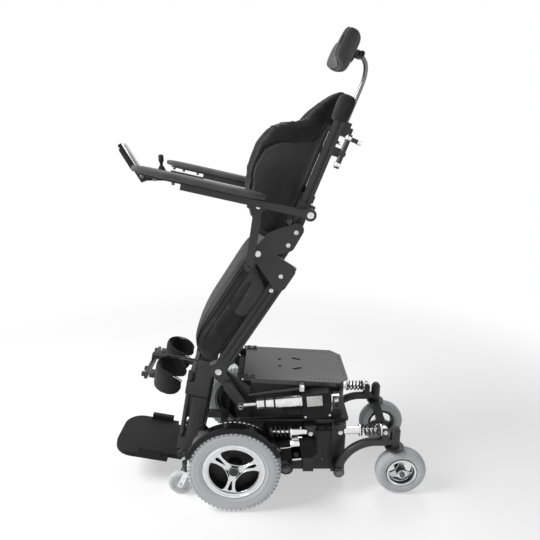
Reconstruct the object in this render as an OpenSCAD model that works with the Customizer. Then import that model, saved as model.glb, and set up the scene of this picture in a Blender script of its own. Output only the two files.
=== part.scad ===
// Powered standing wheelchair, shown raised, facing -X, user's left at -Y, floor at Z 0.

/* [Drive wheels] */
// Outside diameter of a drive tyre
drive_tyre_d = 356; // [330:1:380]
// Width of a drive tyre
drive_tyre_w = 75; // [60:1:80]
// Distance between the two drive tyres' centre planes
drive_track = 495; // [490:1:520]
// Drive axle from the origin, along X
axle_x = -114; // [-120:1:-108]
// Diameter of the drive rim's outer lip
drive_rim_d = 234; // [220:1:240]
// Drive axle diameter
axle_d = 25; // [18:1:30]
// Twin spokes in a drive rim
spoke_count = 3; // [3:1:5]
// Tread lugs round a drive tyre
lug_count = 60; // [40:1:72]
// Height of a tread lug
lug_h = 4; // [2:0.5:5]
// Gap between the tyre and its fender
fender_gap = 9; // [8:1:14]
// Thickness of a fender
fender_t = 4; // [3:0.5:6]

/* [Suspension] */
// Drive arm pivot from the origin, along X
arm_pivot_x = 87; // [80:1:95]
// Drive arm pivot above the floor
arm_pivot_z = 79; // [72:1:86]
// Gear motor diameter
motor_d = 90; // [84:1:92]
// Distance of shocks from the centre plane
shock_y = 168; // [164:1:172]
// Outside diameter of a coil spring
spring_d = 46; // [40:1:48]
// Wire diameter of a coil spring
spring_wire = 6; // [4:0.5:7]
// Turns of a coil spring
spring_turns = 6; // [5:1:7]
// Diameter of a shock body
shock_body_d = 30; // [26:1:32]
// Diameter of a shock rod
shock_rod_d = 14; // [10:1:16]

/* [Rear casters] */
// Outside diameter of a rear caster tyre
caster_d = 200; // [180:1:206]
// Width of a rear caster tyre
caster_w = 50; // [40:1:56]
// Kingpin from the origin, along X
kingpin_x = 510; // [505:1:516]
// Caster trail behind the kingpin
caster_trail = 32; // [25:1:40]
// Distance of rear casters from the centre plane
caster_y = 168; // [164:1:176]
// Diameter of a caster arm's tube
caster_tube_d = 34; // [30:1:36]

/* [Anti-tip casters] */
// Outside diameter of an anti-tip wheel
tip_d = 100; // [90:1:102]
// Width of an anti-tip wheel
tip_w = 26; // [20:1:30]
// Distance of anti-tip wheels from the centre plane
tip_y = 180; // [176:1:184]

/* [Base] */
// Half width of the lower battery box
lower_box_y = 112; // [108:1:116]
// Half width of the upper box
upper_box_y = 124; // [120:1:128]
// Height of the ledge between the boxes
ledge_z = 314; // [310:1:320]
// Top of the upper box
upper_box_z = 462; // [455:1:465]
// Half width of the seat mounting plate
plate_y = 142; // [138:1:144]
// Thickness of the seat mounting plate
plate_t = 6; // [4:1:8]
// Radius of the two mounting holes in the plate
mount_r = 6.5; // [5:0.5:8]
// Distance between those holes, across the chair
mount_pitch = 60; // [50:1:70]

/* [Stand linkage] */
// Seat angle in the raised position shown
seat_tilt = 57; // [55:1:59]
// Recline of the backrest in the raised position shown
back_recline = 21.7; // [20:0.1:23]
// Knee hinge from the origin, along X
knee_x = -174; // [-178:1:-170]
// Knee hinge above the floor
knee_z = 525; // [520:1:530]
// Diameter of the knee shaft
knee_d = 20; // [16:1:24]
// Length of the crank on the seat frame
crank_len = 152; // [148:1:156]
// Diameter of the actuator's tube
actuator_tube_d = 44; // [40:1:48]
// Diameter of the actuator's rod
actuator_rod_d = 18; // [14:1:22]
// Distance of the actuator from the centre plane
actuator_y = 178; // [175:1:181]
// Thickness of link plates
link_t = 8; // [6:1:10]

/* [Seat] */
// Width of the seat cushion with its side panels
cushion_w = 400; // [380:1:410]
// Thickness of the seat cushion
cushion_t = 124; // [110:1:130]
// Length of the seat cushion
cushion_len = 455; // [440:1:462]

/* [Back] */
// Width of the backrest across its side wings
back_w = 410; // [390:1:412]
// Distance of the back posts from the centre plane
post_y = 180; // [174:1:184]
// Section of a back post
post_w = 34; // [28:1:38]
// Length of a back post
post_len = 500; // [480:1:520]
// Wall of the bucket backrest
back_wall = 48; // [40:1:56]

/* [Armrests] */
// Distance of the armrest pads from the centre plane
arm_y = 250; // [245:1:252]
// Tilt of the armrests
arm_tilt = 12.5; // [10:0.5:16]
// Length of an armrest pad
pad_len = 430; // [410:1:440]
// Width of an armrest pad
pad_w = 68; // [60:1:70]
// Thickness of an armrest pad
pad_t = 26; // [22:1:30]

/* [Headrest] */
// Width of the headrest pad
head_w = 250; // [220:1:270]
// Height of the headrest pad
head_h = 125; // [110:1:140]
// Diameter of the headrest stem
stem_d = 16; // [14:1:18]

/* [Legs] */
// Distance of the leg posts from the centre plane
leg_y = 108; // [104:1:110]
// Lean of the leg posts
leg_lean = 10.8; // [10:0.1:12]
// Length of a leg post
leg_len = 420; // [400:1:430]
// Width of a leg post, seen from the side
leg_w = 66; // [58:1:70]
// Thickness of a leg post
leg_t = 34; // [28:1:38]
// Width of the footplate
foot_w = 252; // [240:1:270]
// Length of the footplate
foot_len = 276; // [260:1:290]
// Thickness of the footplate
foot_t = 20; // [14:1:24]
// Diameter of a knee cup
cup_d = 156; // [146:1:158]
// Height of a knee cup
cup_h = 102; // [94:1:110]
// Wall of a knee cup
cup_wall = 18; // [14:1:22]

/* [Hidden] */
$fn = 64;
// Fits and clearances
run_fit = 0.06;
gap = 0.5;
soft_seat = 0.3;
eps = 0.01;
// Keeps a bar's sides from running tangent to its round ends
link_trim = 0.02;

// Key points, each [X, Z]
axle = [axle_x, drive_tyre_d / 2];
wheel_y = drive_track / 2;
arm_pivot = [arm_pivot_x, arm_pivot_z];
front_eye_arm = [arm_pivot_x - 86, arm_pivot_z + 195];
front_eye_base = [arm_pivot_x + 91, arm_pivot_z + 199];
rear_pivot = [294, 101];
rear_eye_base = [293, 283];
rear_eye_arm = [467, 283];
knee = [knee_x, knee_z];
crank_angle = -56.5;
crank_pin = knee + crank_len * [cos(crank_angle), sin(crank_angle)];
actuator_tail = [272, 432];
hip_u = 483;
hip_n = 130;
hip = knee + hip_u * [cos(seat_tilt), sin(seat_tilt)] + hip_n * [-sin(seat_tilt), cos(seat_tilt)];

// Shared pin sizes
eye_bore_d = 12;
eye_d = 26;
eye_w = 16;
pivot_pin_d = 20;
strap_t = 8;
strap_y = lower_box_y + strap_t;

// Children stay on the left side for "l" and are mirrored to the right side for "r"
module side(s) mirror([0, s == "r" ? 1 : 0, 0]) children();

// A 2D shape drawn in X and Z becomes a plate of thickness t, its middle at y
module plate(y, t) translate([0, y + t / 2, 0]) rotate([90, 0, 0]) linear_extrude(t) children();

// A round bar along Y at the point p, its middle at y
module cross_bar(p, y, d, len) translate([p[0], y, p[1]]) rotate([90, 0, 0])
    cylinder(d = d, h = len, center = true);

// A 2D bar with round ends from p to q
module link(p, q, w) {
    d = q - p;
    translate(p) circle(d = w);
    translate(q) circle(d = w);
    translate(p) rotate(atan2(d[1], d[0])) translate([0, link_trim - w / 2])
        square([norm(d), w - 2 * link_trim]);
}

// A 2D rectangle with round corners
module round_rect(w, h, r) {
    translate([r - w / 2, -h / 2]) square([w - 2 * r, h]);
    translate([-w / 2, r - h / 2]) square([w, h - 2 * r]);
    for (x = [r - w / 2, w / 2 - r], y = [r - h / 2, h / 2 - r]) translate([x, y]) circle(r);
}

// A box with round vertical edges, its middle at the origin in X and Y
module round_box(size, r) linear_extrude(size[2]) round_rect(size[0], size[1], r);

// Local frame whose Z axis runs from p to q in the plane at y
module along(p, q, y) {
    d = q - p;
    translate([p[0], y, p[1]]) rotate([0, 90 - atan2(d[1], d[0]), 0]) children();
}

// Local frame of a wheel: Z points outwards on the left side
module on_axle(p, y) translate([p[0], y, p[1]]) rotate([90, 0, 0]) children();

// Seat frame: X runs up the seat from the knee hinge, Z towards the user
module on_seat() translate([knee[0], 0, knee[1]]) rotate([0, -seat_tilt, 0]) children();

// Back frame: Z runs up the back from the hip hinge, X rearwards
module on_back() translate([hip[0], 0, hip[1]]) rotate([0, back_recline, 0]) children();

function power(v, n) = sign(v) * pow(abs(v), n);

// Closed rounded outline of half sizes a and b; n above 2 squares it up
function oval(a, b, n, steps) =
    [for (i = [0:steps - 1]) let (t = 360 * i / steps)
        [a * power(cos(t), 2 / n), b * power(sin(t), 2 / n)]];

// Triangles that join rings of equal point counts into one closed skin
function skin_faces(rings, sides) = concat(
    [for (i = [0:rings - 2], j = [0:sides - 1])
        let (k = (j + 1) % sides) [i * sides + j, i * sides + k, (i + 1) * sides + j]],
    [for (i = [0:rings - 2], j = [0:sides - 1])
        let (k = (j + 1) % sides) [i * sides + k, (i + 1) * sides + k, (i + 1) * sides + j]],
    [for (j = [1:sides - 2]) [0, j + 1, j]],
    [for (j = [1:sides - 2]) let (b = (rings - 1) * sides) [b, b + j, b + j + 1]]);

module skin(rings) {
    sides = len(rings[0]);
    polyhedron([for (r = rings, p = r) p], skin_faces(len(rings), sides), convexity = 8);
}

// Drive wheels

rim_face_w = drive_tyre_w - 16;
rim_seat_r = drive_rim_d / 2 - 13;
rim_flange_w = 6;
hub_r = 30;
cap_r = 19.5;
axle_end = rim_face_w / 2 - 6;

// Half width of a spoke against its share of the way to the rim
spoke_edge = [[0.2, 13], [0.48, 12.5], [0.66, 14.5], [0.8, 19], [0.92, 28], [1, 42]];
spoke_r = rim_seat_r - 4;
spoke_t = 14;

module spoke_2d() difference() {
    intersection() {
        polygon(concat([for (e = spoke_edge) [e[0] * spoke_r, e[1]]],
            [for (i = [len(spoke_edge) - 1:-1:0]) [spoke_edge[i][0] * spoke_r, -spoke_edge[i][1]]]));
        circle(spoke_r);
    }
    hull() {
        translate([0.8 * spoke_r, 0]) circle(9.5);
        translate([0.42 * spoke_r, 0]) circle(2);
    }
}

module drive_rim(s) side(s) color("silver") on_axle(axle, -wheel_y) difference() {
    union() {
        rotate_extrude() {
            translate([rim_seat_r - 7, -rim_face_w / 2]) square([7, rim_face_w]);
            for (z = [-rim_face_w / 2, rim_face_w / 2 - rim_flange_w])
                translate([rim_seat_r - 7, z]) square([drive_rim_d / 2 - rim_seat_r + 7, rim_flange_w]);
        }
        translate([0, 0, rim_face_w / 2 - rim_flange_w / 2 - spoke_t]) linear_extrude(spoke_t)
            for (i = [0:spoke_count - 1]) rotate(18 + i * 360 / spoke_count) spoke_2d();
        translate([0, 0, -rim_face_w / 2]) cylinder(r = hub_r, h = rim_face_w - 8);
        cylinder(r = cap_r, h = rim_face_w / 2 + 1);
    }
    translate([0, 0, -rim_face_w]) cylinder(d = axle_d + 2 * run_fit, h = rim_face_w + axle_end + gap);
}

module drive_tyre(s) side(s) color("gainsboro") on_axle(axle, -wheel_y) difference() {
    section_h = drive_tyre_d / 2 - rim_seat_r;
    rotate_extrude() difference() {
        translate([rim_seat_r + section_h / 2, 0])
            polygon(oval(section_h / 2, drive_tyre_w / 2, 3.2, 32));
        for (z = [-1, 1]) translate([0, z * rim_face_w - rim_face_w / 2])
            translate([0, z * -rim_flange_w]) square([drive_rim_d / 2 + gap, rim_face_w]);
        square([2 * rim_seat_r + eps, drive_tyre_w * 2], center = true);
    }
    groove_w = 0.36 * PI * drive_tyre_d / lug_count;
    for (i = [0:lug_count - 1], z = [-1, 1])
        rotate((i + z / 4) * 360 / lug_count)
            translate([drive_tyre_d / 2 - lug_h, -groove_w / 2, z > 0 ? 7 : -drive_tyre_w / 2 - 7])
                cube([lug_h * 2, groove_w, drive_tyre_w / 2]);
}

fender_r_in = drive_tyre_d / 2 + fender_gap;
fender_in = wheel_y - drive_tyre_w / 2 - 7;

fender_edge = drive_tyre_w + 7;
fender_wide = 38;
fender_skirt = 16;
stay_w = 28;

// Rounded section of a fender over the outer half of the tyre: radius, distance from the stays
fender_section = [[fender_r_in - fender_skirt, fender_edge], [fender_r_in - fender_t / 2, fender_edge],
    [fender_r_in + 0.55 * fender_t, fender_edge - 0.6 * fender_t],
    [fender_r_in + fender_t, fender_edge - 2 * fender_t],
        [fender_r_in + fender_t, fender_edge - fender_wide],
    [fender_r_in, fender_edge - fender_wide], [fender_r_in, fender_edge - 2.4 * fender_t],
    [fender_r_in - 0.6 * fender_t, fender_edge - 1.25 * fender_t],
    [fender_r_in - 1.4 * fender_t, fender_edge - fender_t],
        [fender_r_in - fender_skirt, fender_edge - fender_t]];

module fender(s) side(s) color([0.1, 0.1, 0.1]) on_axle(axle, -fender_in) {
    rotate(22) rotate_extrude(angle = 138) polygon(fender_section);
    for (a = [50, 130]) rotate(a) {
        translate([45, -stay_w / 2, 0]) cube([fender_r_in + fender_t - 45, stay_w, fender_t]);
        translate([fender_r_in, -stay_w / 2, 0]) cube([fender_t, stay_w, fender_edge - fender_wide + 6]);
    }
}

// Gear motors and drive arms

gearbox_w = 64;
gearbox_r = 56;
gearbox_y = fender_in - gearbox_w / 2;
motor_rise = 7;
motor_len = 322;
band_s = 219;
band_len = 36;
motor_axis = [cos(motor_rise), sin(motor_rise)];
arm_t = 10;
arm_plate_y = gearbox_y - gearbox_w / 2 - arm_t / 2;

module gear_motor(s) side(s) {
    color([0.12, 0.12, 0.12]) plate(-gearbox_y, gearbox_w) {
        translate(axle) circle(gearbox_r);
        translate(axle) rotate(motor_rise) translate([0, -motor_d / 2]) square([gearbox_r + 30, motor_d]);
    }
    color([0.3, 0.3, 0.3]) along(axle, axle + motor_axis, -gearbox_y) intersection() {
        union() {
            translate([0, 0, gearbox_r + 20]) cylinder(d = motor_d, h = band_s - gearbox_r - 19);
            translate([0, 0, band_s]) cylinder(d = motor_d + 4, h = band_len);
            translate([0, 0, band_s + band_len - 1])
                cylinder(d = motor_d - 4, h = motor_len - band_s - band_len - 15);
            translate([0, 0, motor_len - 17]) cylinder(d1 = motor_d - 4, d2 = motor_d - 30, h = 14);
            for (a = [0:30:330]) rotate(a) translate([motor_d / 2 - 4, -2, motor_len - 52])
                cube([4, 4, 30]);
        }
        translate([-motor_d, -gearbox_w / 2, 0]) cube([2 * motor_d, gearbox_w, motor_len]);
    }
    color("silver") {
        cross_bar(axle, -(fender_in + 13 / 2 - eps), 40, 13);
        cross_bar(axle, -(fender_in + wheel_y + axle_end) / 2, axle_d, wheel_y + axle_end - fender_in);
    }
}

module drive_arm(s) side(s) color([0.1, 0.1, 0.1]) difference() {
    lug_top = 8;
    union() {
        plate(-arm_plate_y, arm_t) {
            link(arm_pivot, axle, 56);
            link(arm_pivot, front_eye_arm - [14, 34], 44);
            link(axle, front_eye_arm - [14, 34], 44);
        }
        translate([front_eye_arm[0] - 32, -shock_y - eye_w / 2 - 10, front_eye_arm[1] - 32])
            cube([40, shock_y + eye_w / 2 + 10 - arm_plate_y + arm_t / 2, lug_top]);
        for (y = [-1, 1]) plate(-shock_y + y * (eye_w / 2 + 4.5), 7) {
            translate(front_eye_arm) circle(d = eye_d);
            translate(front_eye_arm - [eye_d / 2, 32]) square([eye_d - 5, 32]);
        }
        cross_bar(arm_pivot, -arm_plate_y, 44, arm_t + 6);
        cross_bar(front_eye_arm, -shock_y, eye_bore_d, eye_w + 20);
    }
    cross_bar(arm_pivot, -arm_plate_y, pivot_pin_d + 2 * run_fit, 60);
}

// Coil-over shocks: base eye at the origin, the rod reaches out to the arm eye

flange_t = 4;
body_len = 74;
washer_back = 14;

// An eye at z with the given radial clearance on its pin
module eye(z, clear) translate([0, 0, z]) rotate([90, 0, 0]) difference() {
    cylinder(d = eye_d, h = eye_w, center = true);
    cylinder(d = eye_bore_d + 2 * clear, h = eye_w + 1, center = true);
}

module shock_body(p, q) color("silver") along(p, q, -shock_y) {
    eye(0, run_fit);
    difference() {
        union() {
            translate([0, 0, eye_d / 2 - 5]) cylinder(d = eye_w - 2, h = 10);
            translate([0, 0, eye_d / 2 + 2]) cylinder(d = shock_body_d, h = body_len - eye_d / 2 - 2);
            translate([0, 0, body_len]) cylinder(d = spring_d, h = flange_t);
            translate([shock_body_d / 2 - 1, 0, body_len / 2]) rotate([0, 90, 0]) cylinder(d = 7, h = 7);
        }
        translate([0, 0, 22]) cylinder(d = shock_rod_d + 2 * run_fit, h = body_len);
    }
}

module shock_rod(p, q) color("silver") along(p, q, -shock_y) {
    reach = norm(q - p);
    eye(reach, gap);
    translate([0, 0, 44]) cylinder(d = shock_rod_d, h = reach - 44 - eye_d / 2 + 2);
    translate([0, 0, reach - washer_back - flange_t]) cylinder(d = spring_d, h = flange_t);
}

spring_sides = 6;
spring_steps = 8;
coil_r = (spring_d - spring_wire) / 2 - 0.5;

// Points round the wire of a spring that fills the length between z0 and z1
function spring_rings(z0, z1) =
    let (count = spring_turns * spring_steps, rise = z1 - z0 - spring_wire)
    [for (i = [0:count]) let (a = 360 * i / spring_steps, z = z0 + spring_wire / 2 + rise * i / count)
        [for (j = [0:spring_sides - 1]) let
            (b = 360 * j / spring_sides, r = coil_r + spring_wire / 2 * cos(b))
            [r * cos(a), r * sin(a), z + spring_wire / 2 * sin(b)]]];

module coil_spring(p, q) {
    z0 = body_len + flange_t + gap;
    z1 = norm(q - p) - washer_back - flange_t - gap;
    rings = spring_rings(z0, z1);
    turn_gaps = [for (i = [0:len(rings) - 1 - spring_steps])
        min([for (a = rings[i], b = rings[i + spring_steps]) norm(a - b)])];
    echo(least_coil_gap = min(turn_gaps));
    color([0.15, 0.15, 0.15]) along(p, q, -shock_y) skin(rings);
}

// Rear caster arms and casters

caster = [kingpin_x + caster_trail, caster_d / 2];
tube_z = 231;
bend_x = 440;
bend_r = 147.4;
bend_c = [bend_x, tube_z - bend_r];
housing_d = 40;
housing_z0 = caster_d + 13;
housing_z1 = 282;
stem_pin_d = 20;

module rear_arm(s) side(s) color([0.1, 0.1, 0.1]) difference() {
    union() {
        translate([bend_c[0], -caster_y, bend_c[1]]) rotate([90, 0, 0]) rotate([0, 0, 90])
            rotate_extrude(angle = 82) translate([bend_r, 0]) circle(d = caster_tube_d);
        translate([bend_x - eps, -caster_y, tube_z]) rotate([0, 90, 0])
            cylinder(d = caster_tube_d, h = kingpin_x - bend_x);
        translate([kingpin_x, -caster_y, housing_z0])
            cylinder(d = housing_d, h = housing_z1 - housing_z0);
        translate([kingpin_x, -caster_y, housing_z1 - eps])
            cylinder(d1 = housing_d, d2 = housing_d - 14, h = 5);
        cross_bar(rear_pivot, -(caster_y + 20 + strap_y + gap) / 2, 44, caster_y + 20 - strap_y - gap);
        for (y = [-1, 1]) plate(-shock_y + y * (eye_w / 2 + 4.5), 7) {
            translate(rear_eye_arm) circle(d = eye_d);
            translate([rear_eye_arm[0] - eye_d / 2, tube_z]) square([eye_d, rear_eye_arm[1] - tube_z]);
        }
        cross_bar(rear_eye_arm, -shock_y, eye_bore_d, eye_w + 20);
    }
    cross_bar(rear_pivot, -caster_y, pivot_pin_d + 2 * run_fit, 200);
    translate([kingpin_x, -caster_y, housing_z0 - 1]) cylinder(d = stem_pin_d + 2 * run_fit, h = 55);
}

fork_t = 8;
fork_in = caster_w / 2 + 4;

module rear_fork(s) side(s) color([0.1, 0.1, 0.1]) {
    crown_z = housing_z0 - gap;
    translate([kingpin_x, -caster_y, crown_z - eps]) cylinder(d = stem_pin_d, h = 50);
    difference() {
        union() {
            translate([kingpin_x, -caster_y, crown_z - 9]) cylinder(d = 2 * (fork_in + fork_t), h = 9);
            plate(-caster_y + fork_in + fork_t / 2, fork_t)
                link([kingpin_x, crown_z - 18], caster, 36);
        }
        translate([kingpin_x - 100, -caster_y - 100, crown_z]) cube([200, 200, 60]);
    }
    cross_bar(caster, -caster_y + fork_t / 2, eye_bore_d, 2 * fork_in + fork_t + 6);
}

caster_rim_r = 57;

module caster_rim(s) side(s) color("silver") on_axle(caster, -caster_y) difference() {
    union() {
        rotate_extrude() translate([caster_rim_r - 6, -caster_w / 2 + 6]) square([6, caster_w - 12]);
        translate([0, 0, -6]) linear_extrude(12) for (i = [0:2])
            rotate(90 + i * 120) translate([12, -8]) square([caster_rim_r - 16, 16]);
        cylinder(r = 19, h = 2 * fork_in - 1, center = true);
    }
    cylinder(d = eye_bore_d + 2 * run_fit, h = 100, center = true);
}

module caster_tyre(s) side(s) color("gainsboro") on_axle(caster, -caster_y) rotate_extrude() difference()
    {
    section_h = caster_d / 2 - caster_rim_r;
    translate([caster_rim_r + section_h / 2, 0]) polygon(oval(section_h / 2, caster_w / 2, 2.6, 28));
    translate([0, -caster_w]) square([caster_rim_r, 2 * caster_w]);
}

// Anti-tip casters on the front bar

tip_pin_x = -312;
tip_trail = 22;
tip_axle = [tip_pin_x - tip_trail, tip_d / 2 + 2];
tip_bar_z = 128;
tip_fork_in = tip_w / 2 + 2.5;
tip_axle_d = 10;

module tip_fork(s) side(s) color("silver") {
    translate([tip_pin_x, -tip_y, tip_bar_z - 16]) cylinder(d = 14, h = 30);
    translate([tip_pin_x, -tip_y, tip_bar_z - 21]) cylinder(d = 2 * tip_fork_in + 9, h = 6);
    for (y = [-1, 1]) plate(-tip_y + y * (tip_fork_in + 2), 4)
        link([tip_pin_x, tip_bar_z - 28], tip_axle, 22);
    cross_bar(tip_axle, -tip_y, tip_axle_d, 2 * tip_fork_in + 12);
}

module tip_wheel(s) side(s) color("gainsboro") on_axle(tip_axle, -tip_y) rotate_extrude() difference() {
    translate([tip_d / 4, 0]) polygon(oval(tip_d / 4, tip_w / 2, 4, 28));
    translate([0, -tip_w]) square([tip_axle_d / 2 + run_fit, 2 * tip_w]);
    for (z = [-tip_w / 2 - 5, tip_w / 2 - 3]) translate([14, z]) square([18, 8]);
}

// Chassis, boxes and seat mounting plate

box_x0 = -15;
box_x1 = 330;
box_z0 = 75;
box_wall = 4;
cable_hole_z = 250;
cable_hole_d = 30;
upper_x0 = -110;
upper_x1 = 310;
ledge_y = 150;
rail_y = 90;
rail_w = 30;
rail_h = 24;
tip_cross_x = tip_pin_x + 122;
tip_bar = 29;
knee_plate_y = 133;
knee_plate_t = 10;
strap_w = 44;

module chassis_rails() {
    for (y = [-rail_y, rail_y]) translate([box_x0 - 25, y - rail_w / 2, box_z0 - rail_h])
        cube([box_x1 - box_x0 + 25, rail_w, rail_h]);
    for (x = [box_x0 - 25, 140, box_x1 - 40]) translate([x, -rail_y, box_z0 - rail_h])
        cube([40, 2 * rail_y, rail_h]);
    for (s = [-1, 1]) {
        translate([tip_cross_x - tip_bar / 2, s * rail_y - tip_bar / 2, tip_bar_z - tip_bar / 2])
            cube([box_x0 - tip_cross_x + tip_bar / 2, tip_bar, tip_bar]);
        translate([box_x0 - 25, s * rail_y - rail_w / 2, box_z0 - 10])
            cube([25, rail_w, tip_bar_z - box_z0 + 10]);
    }
    translate([tip_cross_x - tip_bar / 2, -tip_y - tip_bar / 2, tip_bar_z - tip_bar / 2])
        cube([tip_bar, 2 * tip_y + tip_bar, tip_bar]);
}

module tip_arm() difference() {
    union() {
        translate([tip_pin_x, -tip_y - tip_bar / 2, tip_bar_z - tip_bar / 2])
            cube([tip_cross_x - tip_pin_x, tip_bar, tip_bar]);
        translate([tip_pin_x, -tip_y, tip_bar_z - tip_bar / 2]) cylinder(d = tip_bar, h = tip_bar + 4);
    }
    translate([tip_pin_x, -tip_y, tip_bar_z - tip_bar]) cylinder(d = 14 + 2 * run_fit, h = tip_bar + 16);
}

// Ears with a pin that carry a shock's base eye
module shock_ears(p) {
    for (y = [-1, 1]) plate(-shock_y + y * (eye_w / 2 + 4.5), 7) translate(p) {
        circle(d = eye_d);
        translate([-eye_d / 2, 0]) square([eye_d, ledge_z - 8 - p[1]]);
    }
    cross_bar(p, -shock_y, eye_bore_d, eye_w + 20);
    translate([p[0] - strap_w / 2, -shock_y - eye_w / 2 - 8, ledge_z - 12])
        cube([strap_w, shock_y - lower_box_y + eye_w / 2 + 8, 8]);
}

// Strap on the side of the lower box, up from a rail
module strap(x, top) translate([x - strap_w / 2, -strap_y, box_z0 - rail_h]) {
    cube([strap_w, strap_t, top - box_z0 + rail_h]);
    cube([strap_w, strap_y - rail_y, rail_h]);
}

// Slotted bracket behind the actuator's tail pin
tail_pin_d = 12;
tail_drop = 21;
tail_play = 3;
tail_ear_t = 6;
tail_lug_w = 24;

module tail_bracket() difference() {
    union() {
        for (y = [-1, 1]) plate(-actuator_y + y * (tail_lug_w / 2 + 1 + tail_ear_t / 2), tail_ear_t)
            translate([actuator_tail[0] - 16, actuator_tail[1] - tail_drop - 16])
                square([34, tail_drop + 30]);
        translate([actuator_tail[0] + 17, -actuator_y - tail_lug_w / 2 - 1 - tail_ear_t, actuator_tail[1]
            - tail_drop - 16])
            cube([8, actuator_y - upper_box_y + tail_lug_w / 2 + 1 + tail_ear_t, tail_drop + 30]);
    }
    plate(-actuator_y, 60)
        link(actuator_tail + [0, 2], actuator_tail - [0, tail_drop], tail_pin_d + 2 * tail_play);
}

module knee_bracket() plate(-knee_plate_y, knee_plate_t) {
    link(knee, [upper_x0 + 40, upper_box_z - 16], 30);
    link(knee, [upper_x0 + 20, ledge_z + 60], 34);
    translate(knee) circle(24);
    translate([upper_x0, ledge_z + 4]) square([55, upper_box_z - ledge_z - 8]);
}

module chassis_frame() color([0.1, 0.1, 0.1]) {
    chassis_rails();
    cross_bar(knee, 0, knee_d, 2 * (seat_cheek_y + link_t / 2) + 2);
    for (s = ["l", "r"]) side(s) {
        tip_arm();
        shock_ears(front_eye_base);
        shock_ears(rear_eye_base);
        knee_bracket();
        translate([upper_x0, -knee_plate_y + knee_plate_t / 2 - eps, ledge_z + 4])
            cube([60, knee_plate_y - knee_plate_t / 2 - upper_box_y + eps, 90]);
        cross_bar(arm_pivot, -(lower_box_y + arm_plate_y + arm_t / 2 + 5) / 2, pivot_pin_d, arm_plate_y +
            arm_t / 2 + 5 - lower_box_y);
        cross_bar(rear_pivot, -(lower_box_y + caster_y + 20) / 2, pivot_pin_d, caster_y + 20 -
            lower_box_y);
        strap(arm_pivot[0], arm_pivot[1] + 24);
        strap(front_eye_base[0], ledge_z - 4);
        strap(rear_eye_base[0], ledge_z - 4);
    }
    tail_bracket();
}

module base_shell() color([0.13, 0.13, 0.13]) difference() {
    union() {
        translate([(box_x0 + box_x1) / 2, 0, box_z0])
            round_box([box_x1 - box_x0, 2 * lower_box_y, ledge_z - box_z0], 18);
        translate([(upper_x0 + box_x1) / 2, 0, ledge_z - 4])
            round_box([box_x1 - upper_x0, 2 * ledge_y, 8], 14);
        translate([(upper_x0 + upper_x1) / 2, 0, ledge_z])
            round_box([upper_x1 - upper_x0, 2 * upper_box_y, upper_box_z - ledge_z], 16);
    }
    translate([(box_x0 + box_x1) / 2, 0, box_z0 + box_wall])
        round_box([box_x1 - box_x0 - 2 * box_wall, 2 * (lower_box_y - box_wall), ledge_z - box_z0 -
            box_wall - 8], 14);
    translate([box_x1 - 2 * box_wall, 0, cable_hole_z]) rotate([0, 90, 0])
        cylinder(d = cable_hole_d, h = 20);
}

battery = [160, 190, 180];

module batteries() color("dimgray") for (x = [box_x0 + 8, box_x0 + 16 + battery[0]]) {
    translate([x, -battery[1] / 2, box_z0 + box_wall]) cube(battery);
    for (y = [-60, 60]) translate([x + 24, y, box_z0 + box_wall + battery[2]]) cylinder(d = 16, h = 10);
}

plate_x0 = -81;
plate_x1 = 327;
plate_z0 = 493;
plate_slope = 3.2;
plate_cut = 40;
skirt_h = 18;

module on_plate() translate([plate_x0, 0, plate_z0]) rotate([0, plate_slope, 0]) children();

module top_plate() color([0.28, 0.28, 0.28]) {
    plate_len = (plate_x1 - plate_x0) / cos(plate_slope);
    difference() {
        union() {
            on_plate() translate([0, 0, -plate_t]) linear_extrude(plate_t)
                polygon([[0, -plate_y], [plate_len - plate_cut, -plate_y],
                    [plate_len, -plate_y + plate_cut],
                    [plate_len, plate_y - plate_cut], [plate_len - plate_cut, plate_y], [0, plate_y]]);
            on_plate() for (y = [-1, 1]) translate([30, y * (plate_y - 4) - 4, -skirt_h])
                cube([plate_len - plate_cut - 40, 8, skirt_h - plate_t + eps]);
        }
        for (y = [-1, 1]) {
            translate([plate_x0 + 142, y * mount_pitch / 2, upper_box_z]) cylinder(r = mount_r, h = 60);
            on_plate() translate([212, y * 42, -plate_t - 1]) rotate(y * -20) linear_extrude(plate_t + 2)
                link([-14, 0], [14, 0], 11);
            on_plate() for (i = [0:6])
                translate([plate_len - 150 + i * 18, y * (plate_y - 24), -plate_t - 1])
                cylinder(d = 5, h = plate_t + 2, $fn = 24);
            on_plate() for (i = [0:2]) translate([plate_len - 14, y * (34 + i * 20), -plate_t - 1])
                cylinder(d = 6, h = plate_t + 2, $fn = 24);
        }
    }
    for (x = [plate_x0 + 60, plate_x1 - 90], y = [-90, 90]) translate([x, y, upper_box_z])
        cylinder(d = 22, h = plate_z0 - upper_box_z - (x - plate_x0) * tan(plate_slope) - plate_t / 2);
    on_plate() for (y = [-1, 1]) translate([18, y * (plate_y - 16), 0]) {
        translate([-16, -12, -eps]) cube([44, 24, 5]);
        for (x = [-8, 18]) translate([x, 0, 4]) cylinder(d = 11, h = 6);
    }
}

// Seat frame with its crank, cushion and stand actuator

seat_cheek_y = 150;
crank_y = 164;
rail_u0 = 70;
rail_u1 = 500;
rail_n0 = -18;
rail_n1 = 35;
seat_rail_y = 169;
seat_rail_w = 30;
hip_plate_y = 206;
hip_pin_d = 16;
crank_local = crank_len * [cos(crank_angle - seat_tilt), sin(crank_angle - seat_tilt)];

module seat_rail() difference() {
    translate([rail_u0, -seat_rail_y - seat_rail_w / 2, rail_n0])
        cube([rail_u1 - rail_u0, seat_rail_w, rail_n1 - rail_n0]);
    for (n = [-8, 14]) translate([rail_u0 - 1, -seat_rail_y - seat_rail_w / 2 - 1, n])
        cube([rail_u1 - rail_u0 - 90, 7, 10]);
}

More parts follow.
